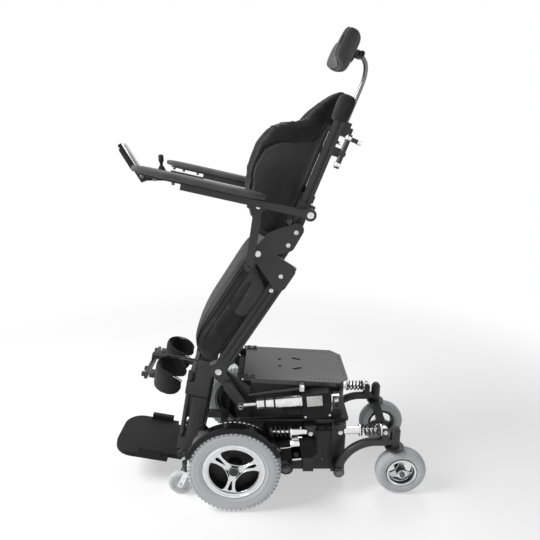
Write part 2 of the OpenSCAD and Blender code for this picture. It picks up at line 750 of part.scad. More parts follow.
module hip_plate() {
    plate(-hip_plate_y, link_t) {
        link([rail_u1 - 70, 8], [hip_u, hip_n], 50);
        link([rail_u1 - 16, 8], [hip_u, hip_n], 50);
        link([rail_u1 - 70, 8], [rail_u1 - 16, 8], 50);
    }
    translate([rail_u1 - 80, -hip_plate_y, rail_n0 + 6]) cube([70, hip_plate_y - seat_rail_y, 40]);
    cross_bar([hip_u, hip_n], -hip_plate_y - 7, hip_pin_d, 22);
}

module crank() {
    plate(-seat_cheek_y, link_t) link([0, 0], 0.5 * crank_local, 40);
    plate(-(seat_cheek_y + crank_y) / 2, crank_y - seat_cheek_y + link_t)
        link(0.46 * crank_local, 0.56 * crank_local, 40);
    plate(-crank_y, link_t) link(0.5 * crank_local, crank_local, 40);
    cross_bar(crank_local, -actuator_y, eye_bore_d, 2 * (actuator_y - crank_y + 2));
    cross_bar(crank_local, -(actuator_y + eye_w / 2 + 4), 20, 5);
}

module seat_frame() color([0.1, 0.1, 0.1]) on_seat() difference() {
    union() {
        for (s = ["l", "r"]) side(s) {
            seat_rail();
            hip_plate();
            plate(-seat_cheek_y, link_t) link([0, 0], [150, 8], 52);
        }
        for (u = [130, rail_u1 - 60]) cross_bar([u, 4], 0, 26, 2 * seat_rail_y);
        crank();
    }
    cross_bar([0, 0], 0, knee_d + 2 * run_fit, 600);
}

cushion_u0 = 25;
cushion_round = 26;
cushion_nose = 64;
cushion_crown = 5;

// Outline of the cushion at the distance y from the centre plane
function cushion_ring(y) =
    let (edge = max(0, abs(y) - cushion_w / 2 + cushion_round) / cushion_round,
        inset = cushion_round * (1 - sqrt(1 - min(1, edge * edge))) * 0.8,
        a = cushion_len / 2 - inset, b = cushion_t / 2 - inset)
    [for (p = oval(a, b, 6, 32))
        let (t = p[1] / cushion_t + 0.5, front = max(0, 0.5 - p[0] / cushion_len),
            crown = cushion_crown * max(0, p[1] / b) * (1 - pow(2 * y / cushion_w, 2)))
        [p[0] + cushion_u0 + cushion_len / 2 + cushion_nose * front * t * t, y,
            p[1] + rail_n1 + soft_seat + cushion_t / 2 + crown]];

module seat_cushion() color([0.16, 0.16, 0.16]) on_seat()
    skin([for (i = [-10:10]) cushion_ring(sign(i) * (1 - pow(1 - abs(i) / 10, 2)) * cushion_w / 2)]);

tube_s0 = 62;
tube_s1 = 232;
housing_len = 110;

module actuator_rod() color("silver") along(crank_pin, actuator_tail, -actuator_y) {
    eye(0, run_fit);
    translate([0, 0, eye_d / 2 - 2]) cylinder(d = actuator_rod_d, h = tube_s1 - eye_d / 2 - 4);
}

module actuator_body() along(crank_pin, actuator_tail, -actuator_y) {
    reach = norm(actuator_tail - crank_pin);
    color("silver") difference() {
        union() {
            translate([0, 0, tube_s0]) cylinder(d = actuator_tube_d, h = tube_s1 - tube_s0 + 2);
            translate([0, 0, tube_s0]) cylinder(d = actuator_tube_d + 4, h = 6);
        }
        translate([0, 0, tube_s0 - 1]) cylinder(d = actuator_rod_d + 2 * run_fit, h = tube_s1 - tube_s0);
    }
    color([0.12, 0.12, 0.12]) {
        translate([22, 7.5, tube_s1]) round_box([105, 56, housing_len], 14);
        translate([40, 7.5, tube_s1 - 70]) cylinder(d = 42, h = 72);
    }
    color("silver") {
        translate([-14, -tail_lug_w / 2, tube_s1 + housing_len - eps])
            cube([28, tail_lug_w, reach + 13 - tube_s1 - housing_len]);
        translate([0, 0, reach]) rotate([90, 0, 0])
            cylinder(d = tail_pin_d, h = tail_lug_w + 2 * tail_ear_t + 8, center = true);
    }
}

// Back frame and bucket backrest, drawn with X rearwards and Z up the back

back_plate_y = 216;
post_m = 87;
post_w0 = 50;
top_bar_w = 0.98 * post_len;
bottom_bar_w = post_w0 + 40;
stem_clamp_h = 50;
push_bar_w = 0.8 * post_len;
push_bar_d = 22;
push_clamp = [36, 28];
arm_pivot_m = 108;
arm_pivot_w = 188;
arm_pin_d = 16;
stem_m = 132;
stop_pin = [-12, -57];
strut_y = 232;
strut_w = 28;

module back_post() difference() {
    translate([post_m - post_w / 2, -post_y - post_w / 2, post_w0]) cube([post_w, post_w, post_len]);
    translate([post_m - 5, -post_y - post_w / 2 - 1, post_w0 - 1]) cube([10, 7, post_len + 2]);
    translate([post_m + post_w / 2 - 6, -post_y - 5, post_w0 - 1]) cube([7, 10, post_len + 2]);
}

module back_side() {
    back_post();
    difference() {
        plate(-back_plate_y, link_t) {
            link([0, 0], [post_m - 3, post_w0 + 14], 46);
            link([post_m - 3, post_w0 + 14], [post_m + 5, post_w0 + 72], 46);
            link([0, 0], [30, 70], 46);
            link([30, 70], [post_m + 5, post_w0 + 72], 46);
            link([0, 0], stop_pin, 30);
        }
        cross_bar([0, 0], -back_plate_y, hip_pin_d + 2 * run_fit, 60);
    }
    for (p = [[post_m - 3, post_w0 + 14], [post_m + 5, post_w0 + 72]])
        cross_bar(p, -(post_y + post_w / 2 + back_plate_y) / 2, 24, back_plate_y - post_y - post_w / 2 +
            2);
    translate([post_m - post_w / 2 - 6, -post_y - post_w / 2 - 6, arm_pivot_w - 24])
        cube([post_w + 24, post_w + 8, 48]);
    cross_bar([arm_pivot_m, arm_pivot_w], -(post_y + arm_y + 14) / 2, arm_pin_d, arm_y + 14 - post_y);
    cross_bar(stop_pin, -(back_plate_y + strut_y + 6) / 2, 12, strut_y + 6 - back_plate_y);
}

module back_frame() color([0.12, 0.12, 0.12]) on_back() {
    for (s = ["l", "r"]) side(s) back_side();
    for (w = [bottom_bar_w, top_bar_w]) cross_bar([post_m, w], 0, back_bar_d, 2 * post_y);
    translate([post_m + post_w / 2, -post_y - 6, 134]) cube([6, 2 * post_y + 12, 26]);
    translate([post_m + post_w / 2, -post_y - 6, 217]) cube([6, 2 * post_y + 12, 26]);
    translate([post_m + post_w / 2, -110, 134]) cube([6, 220, 109]);
    difference() {
        translate([post_m, -20, top_bar_w - stem_clamp_h / 2])
            cube([stem_m - post_m + 20, 40, stem_clamp_h]);
        translate([stem_m, 0, post_w0]) cylinder(d = stem_d + 2 * run_fit, h = post_len);
    }
    translate([stem_m + 19, 0, top_bar_w]) rotate([0, 90, 0]) cylinder(d = 26, h = 14, $fn = 10);
}

// Front edge of the side wings and width of the shell, by height up the back as a share of the post length
wing_edge = [[0.12, -40], [0.23, -102], [0.344, -136], [0.498, -157], [0.664, -156], [0.798, -132],
    [0.86, -96], [0.912, -32], [1.03, -4], [1.148, 36], [1.192, 68]];
shell_half = [[0.12, 0.9], [0.23, 0.97], [0.344, 1], [0.8, 1], [0.912, 0.86], [1, 0.72], [1.12, 0.62],
    [1.192, 0.45]];
back_bar_d = 26;
back_bar_front = post_m - back_bar_d / 2;
shell_rear = [[0.12, back_bar_front - 18], [0.23, back_bar_front - 10], [0.912, back_bar_front - 5],
    [1.03, back_bar_front + 3], [1.148, back_bar_front + 28], [1.192, back_bar_front + 40]];
shell_steps = 12;

// Half of a section, from the middle of the back to the tip of a wing: superellipse quarter
function shell_arc(w, inset) =
    let (half = back_w / 2 * lookup(w, shell_half) - inset, rear = lookup(w, shell_rear) - inset,
        depth = rear - lookup(w, wing_edge) - inset * 0.2)
    [for (i = [-shell_steps:shell_steps]) let (t = 90 * i / shell_steps)
        [rear - depth * (1 - power(cos(t), 2 / 3.2)), half * power(sin(t), 2 / 3.2),
            w * post_len]];

function reversed(v) = [for (i = [len(v) - 1:-1:0]) v[i]];

module back_cushion() color([0.14, 0.14, 0.14]) on_back() {
    levels = [0.12, 0.14, 0.184, 0.23, 0.344, 0.498, 0.664, 0.798, 0.86, 0.912, 1.03, 1.148, 1.18, 1.192];
    arcs = len(shell_arc(levels[0], 0));
    sides = 2 * arcs;
    points = [for (w = levels) let (thin = min(1, (w - 0.08) / 0.104, (1.224 - w) / 0.076))
        each concat(shell_arc(w, 2 * (1 - thin)), reversed(shell_arc(w, back_wall * 0.55 * thin + 6)))];
    cap = [for (i = [0:arcs - 2]) each
        [[i, i + 1, sides - 1 - i], [i + 1, sides - 2 - i, sides - 1 - i]]];
    last = (len(levels) - 1) * sides;
    walls = [for (k = [0:len(levels) - 2], j = [0:sides - 1])
        let (a = k * sides + j, b = k * sides + (j + 1) % sides) each
            [[a, a + sides, b], [b, a + sides, b + sides]]];
    polyhedron(points, concat(walls, cap, [for (f = cap) [last + f[2], last + f[1], last + f[0]]]),
        convexity = 8);
}

// Accessory bar behind the back posts
module push_bar() color([0.35, 0.35, 0.36]) on_back() {
    bar_m = post_m + post_w / 2 + 28;
    for (y = [-post_y, post_y])
        translate([post_m + post_w / 2, y - push_clamp[1] / 2, push_bar_w - push_clamp[1] / 2])
        cube([push_clamp[0], push_clamp[1], push_clamp[1]]);
    cross_bar([bar_m, push_bar_w], 0, push_bar_d, 2 * post_y + 70);
    for (y = [-post_y - 24, post_y + 24]) {
        translate([bar_m, y, push_bar_w - 48]) cylinder(d = 18, h = 112);
        translate([bar_m, y, push_bar_w + 52]) rotate([0, 90, 0]) cylinder(d = 14, h = 40);
    }
}

// Armrests: X rearwards from the pivot, Z up

module on_arm() on_back() translate([arm_pivot_m, 0, arm_pivot_w])
    rotate([0, arm_tilt - back_recline, 0]) children();

arm_rail_w = 24;
arm_rail_h = 22;
arm_rail_front = 420;
pad_rear = 150;

module armrest(s) side(s) color([0.12, 0.12, 0.12]) {
    on_arm() difference() {
        union() {
            translate([-arm_rail_front, -arm_y - arm_rail_w / 2, -arm_rail_h / 2])
                cube([arm_rail_front, arm_rail_w, arm_rail_h]);
            cross_bar([0, 0], -arm_y, 40, arm_rail_w);
            translate([-204, -arm_y, -arm_rail_h / 2 - 10]) cube([60, arm_y - strut_y + 4, arm_rail_h]);
            if (s == "r") translate([-control_back - 4, -arm_y - 10, -arm_rail_h / 2 - 12])
                cube([control_back + 5 - arm_rail_front, 20, 16]);
        }
        cross_bar([0, 0], -arm_y, arm_pin_d + 2 * run_fit, 100);
    }
    on_back() {
        plate(-strut_y, link_t) link([-56, 150], [-14, -34], strut_w);
        cross_bar([-56, 150], -strut_y - 9, 22, 12);
    }
}

// Cross section of a pad at the share t of its length
function pad_ring(t) =
    let (e = sqrt(1 - pow(abs(2 * t - 1), 8)) * 0.86 + 0.14)
    [for (p = oval(pad_w / 2 * e, pad_t / 2 * (0.4 + 0.6 * e), 3, 20))
        [-pad_rear - t * pad_len, p[0] - arm_y, p[1] + pad_t / 2 + arm_rail_h / 2 + gap]];

module arm_pad(s) side(s) color([0.18, 0.18, 0.18]) on_arm()
    skin([for (t = [0, 0.01, 0.03, 0.08, 0.25, 0.5, 0.75, 0.92, 0.97, 0.99, 1]) pad_ring(t)]);

// Control box, level on the front of the right armrest

control_back = 552;
control_drop = 16;
control_y = arm_y - 12;
control_len = 124;
control_w = 76;
control_t = 30;
screen_h = 142;
screen_w = 66;
screen_foot = 18;
screen_t = 18;
screen_lean = 30;
stick_x = -40;
ring_r = 24;
stick_r = 18.5;

module on_control() on_arm() translate([-control_back, control_y, -control_drop])
    rotate([0, -arm_tilt, 0]) children();

module on_stick() on_control() translate([stick_x, 0, -2]) children();

module control_box() color([0.12, 0.12, 0.12]) on_control() difference() {
    union() {
        translate([-control_len / 2, 0, -control_t]) round_box([control_len, control_w, control_t], 12);
        translate([-control_len + screen_foot, 0, -control_t]) rotate([0, -screen_lean, 0])
            translate([-screen_t / 2, 0, 0]) round_box([screen_t, screen_w, screen_h + control_t], 7);
    }
    translate([stick_x, 0, -2]) sphere(ring_r + gap);
    rotate([0, arm_tilt, 0]) translate([-4, arm_y - control_y - 10, control_drop - arm_rail_h / 2 - 12])
        cube([40, 20, 16]);
}

module joystick_ring() color("dimgray") on_stick() difference() {
    intersection() {
        sphere(ring_r);
        cube([60, 60, 12], center = true);
    }
    sphere(stick_r + 0.3);
}

module joystick_lever() color([0.1, 0.1, 0.1]) on_stick() {
    intersection() {
        sphere(stick_r);
        cube([60, 60, 28], center = true);
    }
    translate([0, 0, 10]) cylinder(d1 = 30, d2 = 13, h = 22);
    cylinder(d = 9, h = 56);
    translate([0, 0, 62]) rotate_extrude() intersection() {
        polygon(oval(11, 14, 2.4, 28));
        translate([0, -20]) square([20, 40]);
    }
}

// Headrest

stem_w0 = top_bar_w - 20;
stem_path = [[stem_m, top_bar_w + 186], [stem_m - 12, top_bar_w + 222], [stem_m - 45, top_bar_w + 241]];
head_ball_r = 13;
head_pin_d = 10;
head_ear_in = 15;

module headrest_stem() color("gray") on_back() {
    translate([stem_m, 0, stem_w0]) cylinder(d = stem_d, h = stem_path[0][1] - stem_w0);
    for (i = [0:1]) {
        along(stem_path[i], stem_path[i + 1], 0)
            cylinder(d = stem_d, h = norm(stem_path[i + 1] - stem_path[i]));
        translate([stem_path[i][0], 0, stem_path[i][1]]) sphere(d = stem_d);
    }
    translate([stem_path[2][0], 0, stem_path[2][1]]) sphere(head_ball_r);
    cross_bar(stem_path[2], 0, head_pin_d, 2 * head_ear_in + 16);
}

head_t = 50;
head_wing = 34;
head_lean = -4;
head_c = stem_path[2] - [head_t / 2 + 22, 8];
head_seat = 0.4;

// Section of the pad at the share t of its width
function head_ring(t) =
    let (x = 2 * t - 1, e = pow(1 - pow(abs(x), 6), 0.4) * 0.8 + 0.2)
    [for (p = oval(head_t / 2 * e, head_h / 2 * e * (1 - 0.12 * x * x), 2.8, 20))
        [head_c[0] + p[0] * cos(head_lean) - p[1] * sin(head_lean) - head_wing * x * x, x * head_w / 2,
            head_c[1] + p[1] * cos(head_lean) + p[0] * sin(head_lean)]];

module headrest_pad() on_back() {
    color([0.15, 0.15, 0.15])
        skin([for (i = [-9:9]) head_ring(0.5 + sign(i) * 0.5 * (1 - pow(1 - abs(i) / 9, 1.6)))]);
    color("dimgray") difference() {
        union() {
            for (y = [-1, 1]) plate(y * (head_ear_in + 4), 6)
                link(stem_path[2], stem_path[2] - [14, 0], 20);
            translate([head_c[0], 0, head_c[1]]) rotate([0, -head_lean, 0])
                translate([head_t / 2 + head_seat, -30, -20]) cube([5, 60, 40]);
        }
        cross_bar(stem_path[2], 0, head_pin_d + 2 * run_fit, 80);
    }
}

// Legs: Z up along the posts from the knee hinge, X rearwards

module on_leg() translate([knee[0], 0, knee[1]]) rotate([0, leg_lean, 0]) children();

post_x = -52;
leg_top = 2;
bar_x = post_x - leg_w / 2 - 18;
bar_d = 20;
bar_top = -74;
foot_hinge = [bar_x + 8, leg_top - leg_len - 6];
foot_pin_d = 12;
swing_pin_d = 12;
swing_len = 36;

module leg_posts() color([0.1, 0.1, 0.1]) on_leg() {
    for (s = [-1, 1]) {
        difference() {
            union() {
                translate([post_x, s * leg_y, leg_top - leg_len]) round_box([leg_w, leg_t, leg_len], 8);
                plate(s * leg_y, leg_t) link([0, 0], [post_x, -36], 48);
            }
            cross_bar([0, 0], 0, knee_d + 2 * run_fit, 400);
        }
        translate([bar_x, s * leg_y, leg_top - leg_len + 30])
            cylinder(d = bar_d, h = bar_top + leg_len - 30 - leg_top);
        translate([bar_x, s * leg_y, bar_top - eps]) cylinder(d = swing_pin_d, h = swing_len);
        for (z = [-132, leg_top - leg_len + 34]) translate([bar_x - 12, s * leg_y - leg_t / 2, z])
            cube([post_x - bar_x, leg_t, 54]);
        plate(s * leg_y, 12) link([post_x, foot_hinge[1] + 36], foot_hinge, 32);
    }
    cross_bar(foot_hinge, 0, foot_pin_d, 2 * leg_y);
    cross_bar([post_x, -200], 0, 30, 2 * leg_y);
}

foot_drop = 14;
foot_corner = 76;
foot_neck = 2 * leg_y - 16;

module footplate() color([0.13, 0.13, 0.13]) on_leg() translate([foot_hinge[0], 0, foot_hinge[1]])
    difference() {
    union() {
        translate([0, 0, -foot_drop - foot_t]) linear_extrude(foot_t) {
            translate([-60, -foot_neck / 2]) square([66, foot_neck]);
            translate([-foot_len + 26, 0]) {
                translate([foot_corner - 26, -foot_w / 2]) square([foot_len - 50 - foot_corner, foot_w]);
                for (y = [-1, 1]) translate([foot_corner - 26, y * (foot_w / 2 - foot_corner)])
                    circle(foot_corner);
                translate([-26, foot_corner - foot_w / 2])
                    square([foot_corner + 4, foot_w - 2 * foot_corner]);
            }
        }
        for (y = [-1, 1]) {
            translate([-170, y * (foot_w / 2 - 9) - 9, -foot_drop - eps]) cube([94, 18, 26]);
            plate(y * 60, 30) {
                circle(d = 28);
                translate([-14, -foot_drop - 2]) square([28, foot_drop + 2]);
            }
        }
    }
    cross_bar([0, 0], 0, foot_pin_d + 2 * run_fit, 400);
}

// Knee supports on swing-away arms

cup_c = [-172, -83];
cup_y = 95;
arm_in_y = 4;
cup_front = cup_c[0] - cup_d / 2;

module knee_arm(s) side(s) color([0.12, 0.12, 0.12]) on_leg() {
    difference() {
        union() {
            translate([bar_x, -leg_y, bar_top + gap]) cylinder(d = 26, h = swing_len - 4);
            translate([bar_x - 8, -leg_y, bar_top + gap + 6]) cube([16, leg_y - arm_in_y, 18]);
            translate([cup_front - 24, -arm_in_y - 8, bar_top + gap + 6])
                cube([bar_x - cup_front + 32, 8, 18]);
            translate([cup_front - 32, -arm_in_y - 8, cup_c[1] - 20])
                cube([12, 8, bar_top + gap + 44 - cup_c[1]]);
            translate([cup_front - 32, -cup_y - 20, cup_c[1] - 20]) cube([12, cup_y - arm_in_y + 20, 28]);
        }
        translate([bar_x, -leg_y, bar_top]) cylinder(d = swing_pin_d + 2 * run_fit, h = 100);
    }
    for (y = [-10, 34]) translate([cup_front - 44, y - cup_y, cup_c[1] - 6]) rotate([0, 90, 0])
        cylinder(d = 20, h = 20, $fn = 8);
}

cup_open = 100;

module knee_cup(s) side(s) color([0.1, 0.1, 0.1]) on_leg() {
    translate([cup_c[0], -cup_y, cup_c[1] - cup_h / 2]) rotate([0, 0, cup_open / 2])
        rotate_extrude(angle = 360 - cup_open) translate([cup_d / 2 - cup_wall, 0]) {
            translate([0, 6]) square([cup_wall, cup_h - 12]);
            translate([cup_wall / 2, 9]) circle(cup_wall / 2 - eps);
            translate([cup_wall / 2, cup_h - 9]) circle(cup_wall / 2 - eps);
        }
    translate([cup_front - 20 + eps, -cup_y - 16, cup_c[1] - 14]) cube([24, 32, 20]);
}

chassis_frame();
base_shell();
batteries();
top_plate();
drive_arm("l");  // drive_arm_l
drive_arm("r");  // drive_arm_r
gear_motor("l");  // gear_motor_l
gear_motor("r");  // gear_motor_r
fender("l");  // fender_l
fender("r");  // fender_r
drive_rim("l");  // drive_rim_l
drive_rim("r");  // drive_rim_r
drive_tyre("l");  // drive_tyre_l
drive_tyre("r");  // drive_tyre_r
side("l") shock_body(front_eye_base, front_eye_arm);  // front_shock_body_l
side("r") shock_body(front_eye_base, front_eye_arm);  // front_shock_body_r
side("l") shock_rod(front_eye_base, front_eye_arm);  // front_shock_rod_l
side("r") shock_rod(front_eye_base, front_eye_arm);  // front_shock_rod_r
side("l") coil_spring(front_eye_base, front_eye_arm);  // front_spring_l
side("r") coil_spring(front_eye_base, front_eye_arm);  // front_spring_r
rear_arm("l");  // rear_arm_l
rear_arm("r");  // rear_arm_r
side("l") shock_body(rear_eye_base, rear_eye_arm);  // rear_shock_body_l
side("r") shock_body(rear_eye_base, rear_eye_arm);  // rear_shock_body_r
side("l") shock_rod(rear_eye_base, rear_eye_arm);  // rear_shock_rod_l
side("r") shock_rod(rear_eye_base, rear_eye_arm);  // rear_shock_rod_r
side("l") coil_spring(rear_eye_base, rear_eye_arm);  // rear_spring_l
side("r") coil_spring(rear_eye_base, rear_eye_arm);  // rear_spring_r
rear_fork("l");  // rear_fork_l
rear_fork("r");  // rear_fork_r
caster_rim("l");  // caster_rim_l
caster_rim("r");  // caster_rim_r
caster_tyre("l");  // caster_tyre_l
caster_tyre("r");  // caster_tyre_r
tip_fork("l");  // tip_fork_l
tip_fork("r");  // tip_fork_r
tip_wheel("l");  // tip_wheel_l
tip_wheel("r");  // tip_wheel_r
seat_frame();
seat_cushion();
actuator_body();
actuator_rod();
back_frame();
back_cushion();
armrest("l");  // armrest_l
armrest("r");  // armrest_r
arm_pad("l");  // arm_pad_l
arm_pad("r");  // arm_pad_r
control_box();
joystick_ring();
joystick_lever();
headrest_stem();
headrest_pad();
leg_posts();
footplate();
knee_arm("l");  // knee_arm_l
knee_arm("r");  // knee_arm_r
knee_cup("l");  // knee_cup_l
knee_cup("r");  // knee_cup_r
push_bar();
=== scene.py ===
"""Standing wheelchair, raised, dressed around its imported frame."""
import logging
import math
from dataclasses import dataclass
from enum import Enum
from typing import Any, Callable, Iterable, Sequence

import bpy
from mathutils import Matrix, Vector


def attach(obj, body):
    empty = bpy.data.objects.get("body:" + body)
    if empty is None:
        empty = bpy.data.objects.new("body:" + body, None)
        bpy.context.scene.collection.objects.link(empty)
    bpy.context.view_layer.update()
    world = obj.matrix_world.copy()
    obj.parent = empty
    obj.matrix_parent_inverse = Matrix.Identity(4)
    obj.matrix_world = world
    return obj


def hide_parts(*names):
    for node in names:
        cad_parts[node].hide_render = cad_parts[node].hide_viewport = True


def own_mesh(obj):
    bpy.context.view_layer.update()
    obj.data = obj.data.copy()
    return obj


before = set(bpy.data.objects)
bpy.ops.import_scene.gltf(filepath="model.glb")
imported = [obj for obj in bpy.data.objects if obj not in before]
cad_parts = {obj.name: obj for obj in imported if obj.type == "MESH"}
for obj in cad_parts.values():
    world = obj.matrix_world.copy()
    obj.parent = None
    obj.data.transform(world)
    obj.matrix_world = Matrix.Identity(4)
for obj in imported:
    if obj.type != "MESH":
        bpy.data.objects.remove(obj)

LOG = logging.getLogger("standing_chair")
MM = 0.001
Point = Sequence[float]
Picker = Callable[[Vector, Vector], bool]


def turned(x: float, z: float, angle: float, y: float = 0.0) -> Matrix:
    """Frame at a place in millimetres, turned about Y.

    Args:
        x: place along X.
        z: height.
        angle: turn about Y in degrees.
        y: place along Y.
    Returns:
        The matrix from local millimetres to metres.
    """
    place = Matrix.Translation((x * MM, y * MM, z * MM))
    return place @ Matrix.Rotation(math.radians(angle), 4, "Y") @ Matrix.Scale(MM, 4)


def within(base: Matrix, x: float, y: float, z: float, angle: float = 0.0, axis: str = "Y") -> Matrix:
    """Frame inside another one, in its millimetres.

    Args:
        base: the outer frame.
        x, y, z: place in the outer frame.
        angle: turn in degrees.
        axis: axis of the turn.
    Returns:
        The inner frame's matrix.
    """
    return base @ Matrix.Translation((x, y, z)) @ Matrix.Rotation(math.radians(angle), 4, axis)


def along(p: tuple[float, float], q: tuple[float, float], y: float) -> Matrix:
    """Frame whose Z axis runs from p to q, both X and Z in millimetres, in the plane at y."""
    return turned(p[0], p[1], 90 - math.degrees(math.atan2(q[1] - p[1], q[0] - p[0])), y)


WORLD = Matrix.Scale(MM, 4)
KNEE = (-174.0, 525.0)
HIP = (-19.97, 1000.88)
SEAT = turned(*KNEE, -57.0)
BACK = turned(*HIP, 21.7)
ARM = within(BACK, 108, 0, 188, -9.2)
CONTROL = within(ARM, -552, 238, -16, -12.5)
LEG = turned(*KNEE, 10.8)
PLATE = turned(-81, 493, 3.2)
CRANK_PIN = (-90.11, 398.25)
ACTUATOR = along(CRANK_PIN, (272.0, 432.0), -178.0)


class Side(Enum):
    """The two sides of the chair: suffix of the names, and sign of Y."""

    LEFT = ("l", -1)
    RIGHT = ("r", 1)

    @property
    def tag(self) -> str:
        """Suffix of this side's nodes and bodies."""
        return self.value[0]

    @property
    def sign(self) -> int:
        """Sign of Y on this side."""
        return self.value[1]

    def frame(self, base: Matrix) -> Matrix:
        """A frame drawn for the left side, mirrored where this is the right side."""
        return base if self is Side.LEFT else Matrix.Scale(-1, 4, (0, 1, 0)) @ base


class Wire:
    """A socket of a material's node tree, for shader maths as expressions."""

    def __init__(self, shader: "Shader", socket: Any) -> None:
        """Keeps the tree and the socket."""
        self.shader, self.socket = shader, socket

    def _math(self, operation: str, a: Any, b: Any = 0.0, c: Any = 0.0) -> "Wire":
        """Adds one Math node and returns its value."""
        return self.shader.node("ShaderNodeMath", {"operation": operation}, {0: a, 1: b, 2: c})

    def __add__(self, other: Any) -> "Wire":
        """Sum."""
        return self._math("ADD", self, other)

    __radd__ = __add__

    def __sub__(self, other: Any) -> "Wire":
        """Difference."""
        return self._math("SUBTRACT", self, other)

    def __rsub__(self, other: Any) -> "Wire":
        """Difference from a number."""
        return self._math("SUBTRACT", other, self)

    def __mul__(self, other: Any) -> "Wire":
        """Product."""
        return self._math("MULTIPLY", self, other)

    __rmul__ = __mul__

    def __pow__(self, other: Any) -> "Wire":
        """Power."""
        return self._math("POWER", self, other)

    def __abs__(self) -> "Wire":
        """Absolute value."""
        return self._math("ABSOLUTE", self)

    def sine(self) -> "Wire":
        """Sine of an angle in radians."""
        return self._math("SINE", self)

    def top(self, other: Any) -> "Wire":
        """The larger of two values."""
        return self._math("MAXIMUM", self, other)

    def low(self, other: Any) -> "Wire":
        """The smaller of two values."""
        return self._math("MINIMUM", self, other)

    def step(self, start: float, end: float) -> "Wire":
        """A smooth rise from 0 at start to 1 at end."""
        return self.shader.node("ShaderNodeMapRange", {"interpolation_type": "SMOOTHSTEP"},
                                {0: self, 1: start, 2: end, 3: 0.0, 4: 1.0})


class Shader:
    """One material with a Principled shader and the nodes that feed it."""

    def __init__(self, name: str) -> None:
        """Makes the material and finds its shader.

        Args:
            name: name of the material.
        """
        self.material = bpy.data.materials.new(name)
        self.material.use_nodes = True
        self.tree = self.material.node_tree
        self.surface = self.tree.nodes["Principled BSDF"]

    def node(self, kind: str, settings: dict[str, Any], inputs: dict[Any, Any], output: Any = 0) -> Wire:
        """Adds a node.

        Args:
            kind: Blender's type of the node.
            settings: properties that are set first.
            inputs: values or wires by socket.
            output: the socket that is returned.
        Returns:
            The output as a wire.
        """
        made = self.tree.nodes.new(kind)
        for key, value in settings.items():
            setattr(made, key, value)
        for key, value in inputs.items():
            self.feed(made.inputs[key], value)
        return Wire(self, made.outputs[output])

    def feed(self, socket: Any, value: Any) -> None:
        """Links a wire to a socket, or sets the socket's own value."""
        if isinstance(value, Wire):
            self.tree.links.new(value.socket, socket)
        else:
            socket.default_value = value

    def place(self, turn: float = 0.0) -> Wire:
        """Object coordinates, turned about Y by an angle in degrees."""
        raw = self.node("ShaderNodeTexCoord", {}, {}, "Object")
        return self.node("ShaderNodeMapping", {}, {"Vector": raw, "Rotation": (0, math.radians(turn), 0)})

    def split(self, vector: Wire) -> tuple[Wire, Wire, Wire]:
        """The three parts of a vector."""
        made = self.tree.nodes.new("ShaderNodeSeparateXYZ")
        self.feed(made.inputs[0], vector)
        return tuple(Wire(self, s) for s in made.outputs)

    def noise(self, vector: Wire, scale: float, detail: float = 3.0, rough: float = 0.55) -> Wire:
        """Noise value at a scale per metre."""
        return self.node("ShaderNodeTexNoise", {},
                         {"Vector": vector, "Scale": scale, "Detail": detail, "Roughness": rough})

    def cells(self, vector: Wire, scale: float) -> Wire:
        """Distance to the nearest point of a scattered set, for grain."""
        return self.node("ShaderNodeTexVoronoi", {}, {"Vector": vector, "Scale": scale})

    def stretched(self, vector: Wire, scale: Point) -> Wire:
        """A vector scaled part by part."""
        return self.node("ShaderNodeMapping", {}, {"Vector": vector, "Scale": tuple(scale)})

    def blend(self, share: Any, a: Any, b: Any) -> Wire:
        """Mixes two colours."""
        colour = lambda v: v if isinstance(v, Wire) else (*v, 1.0)
        return self.node("ShaderNodeMix", {"data_type": "RGBA"}, {0: share, 6: colour(a), 7: colour(b)}, 2)

    def bump(self, height: Wire, strength: float, depth: float) -> None:
        """Drives the surface's normal from a height."""
        self.feed(self.surface.inputs["Normal"],
                  self.node("ShaderNodeBump", {},
                            {"Height": height, "Strength": strength, "Distance": depth}))

    def set(self, **values: Any) -> bpy.types.Material:
        """Sets or links the shader's sockets and returns the material.

        Args:
            values: socket names with _ for spaces.
        Returns:
            The material.
        """
        for key, value in values.items():
            socket = self.surface.inputs[key.replace("_", " ")]
            if isinstance(value, (tuple, list)) and len(value) == 3:
                value = (*value, 1.0)
            self.feed(socket, value)
        return self.material


@dataclass(frozen=True)
class Coat:
    """Powder coat or paint: fine peel, dust in patches and a little wear.

    Attributes:
        name: name of the material.
        colour: linear colour.
        rough: mean roughness.
        peel: strength of the surface's fine relief.
        fleck: how far the colour varies.
    """

    name: str
    colour: Point
    rough: float = 0.42
    peel: float = 0.12
    fleck: float = 0.35

    def make(self) -> bpy.types.Material:
        """Builds the material."""
        s = Shader(self.name)
        where = s.place()
        cloud, fine = s.noise(where, 9.0, 4.0), s.noise(where, 1100.0, 2.0)
        dust = s.noise(where, 55.0, 5.0).step(0.56, 0.8)
        lift = tuple(min(1.0, c * (1 + 2 * self.fleck) + 0.0015) for c in self.colour)
        tone = s.blend(cloud.step(0.35, 0.75) * 0.6 + dust * 0.4, self.colour, lift)
        s.bump(fine, self.peel, 0.0004)
        return s.set(Base_Color=tone, Roughness=cloud * 0.16 + dust * 0.1 + (self.rough - 0.1),
                     Specular_IOR_Level=0.08)


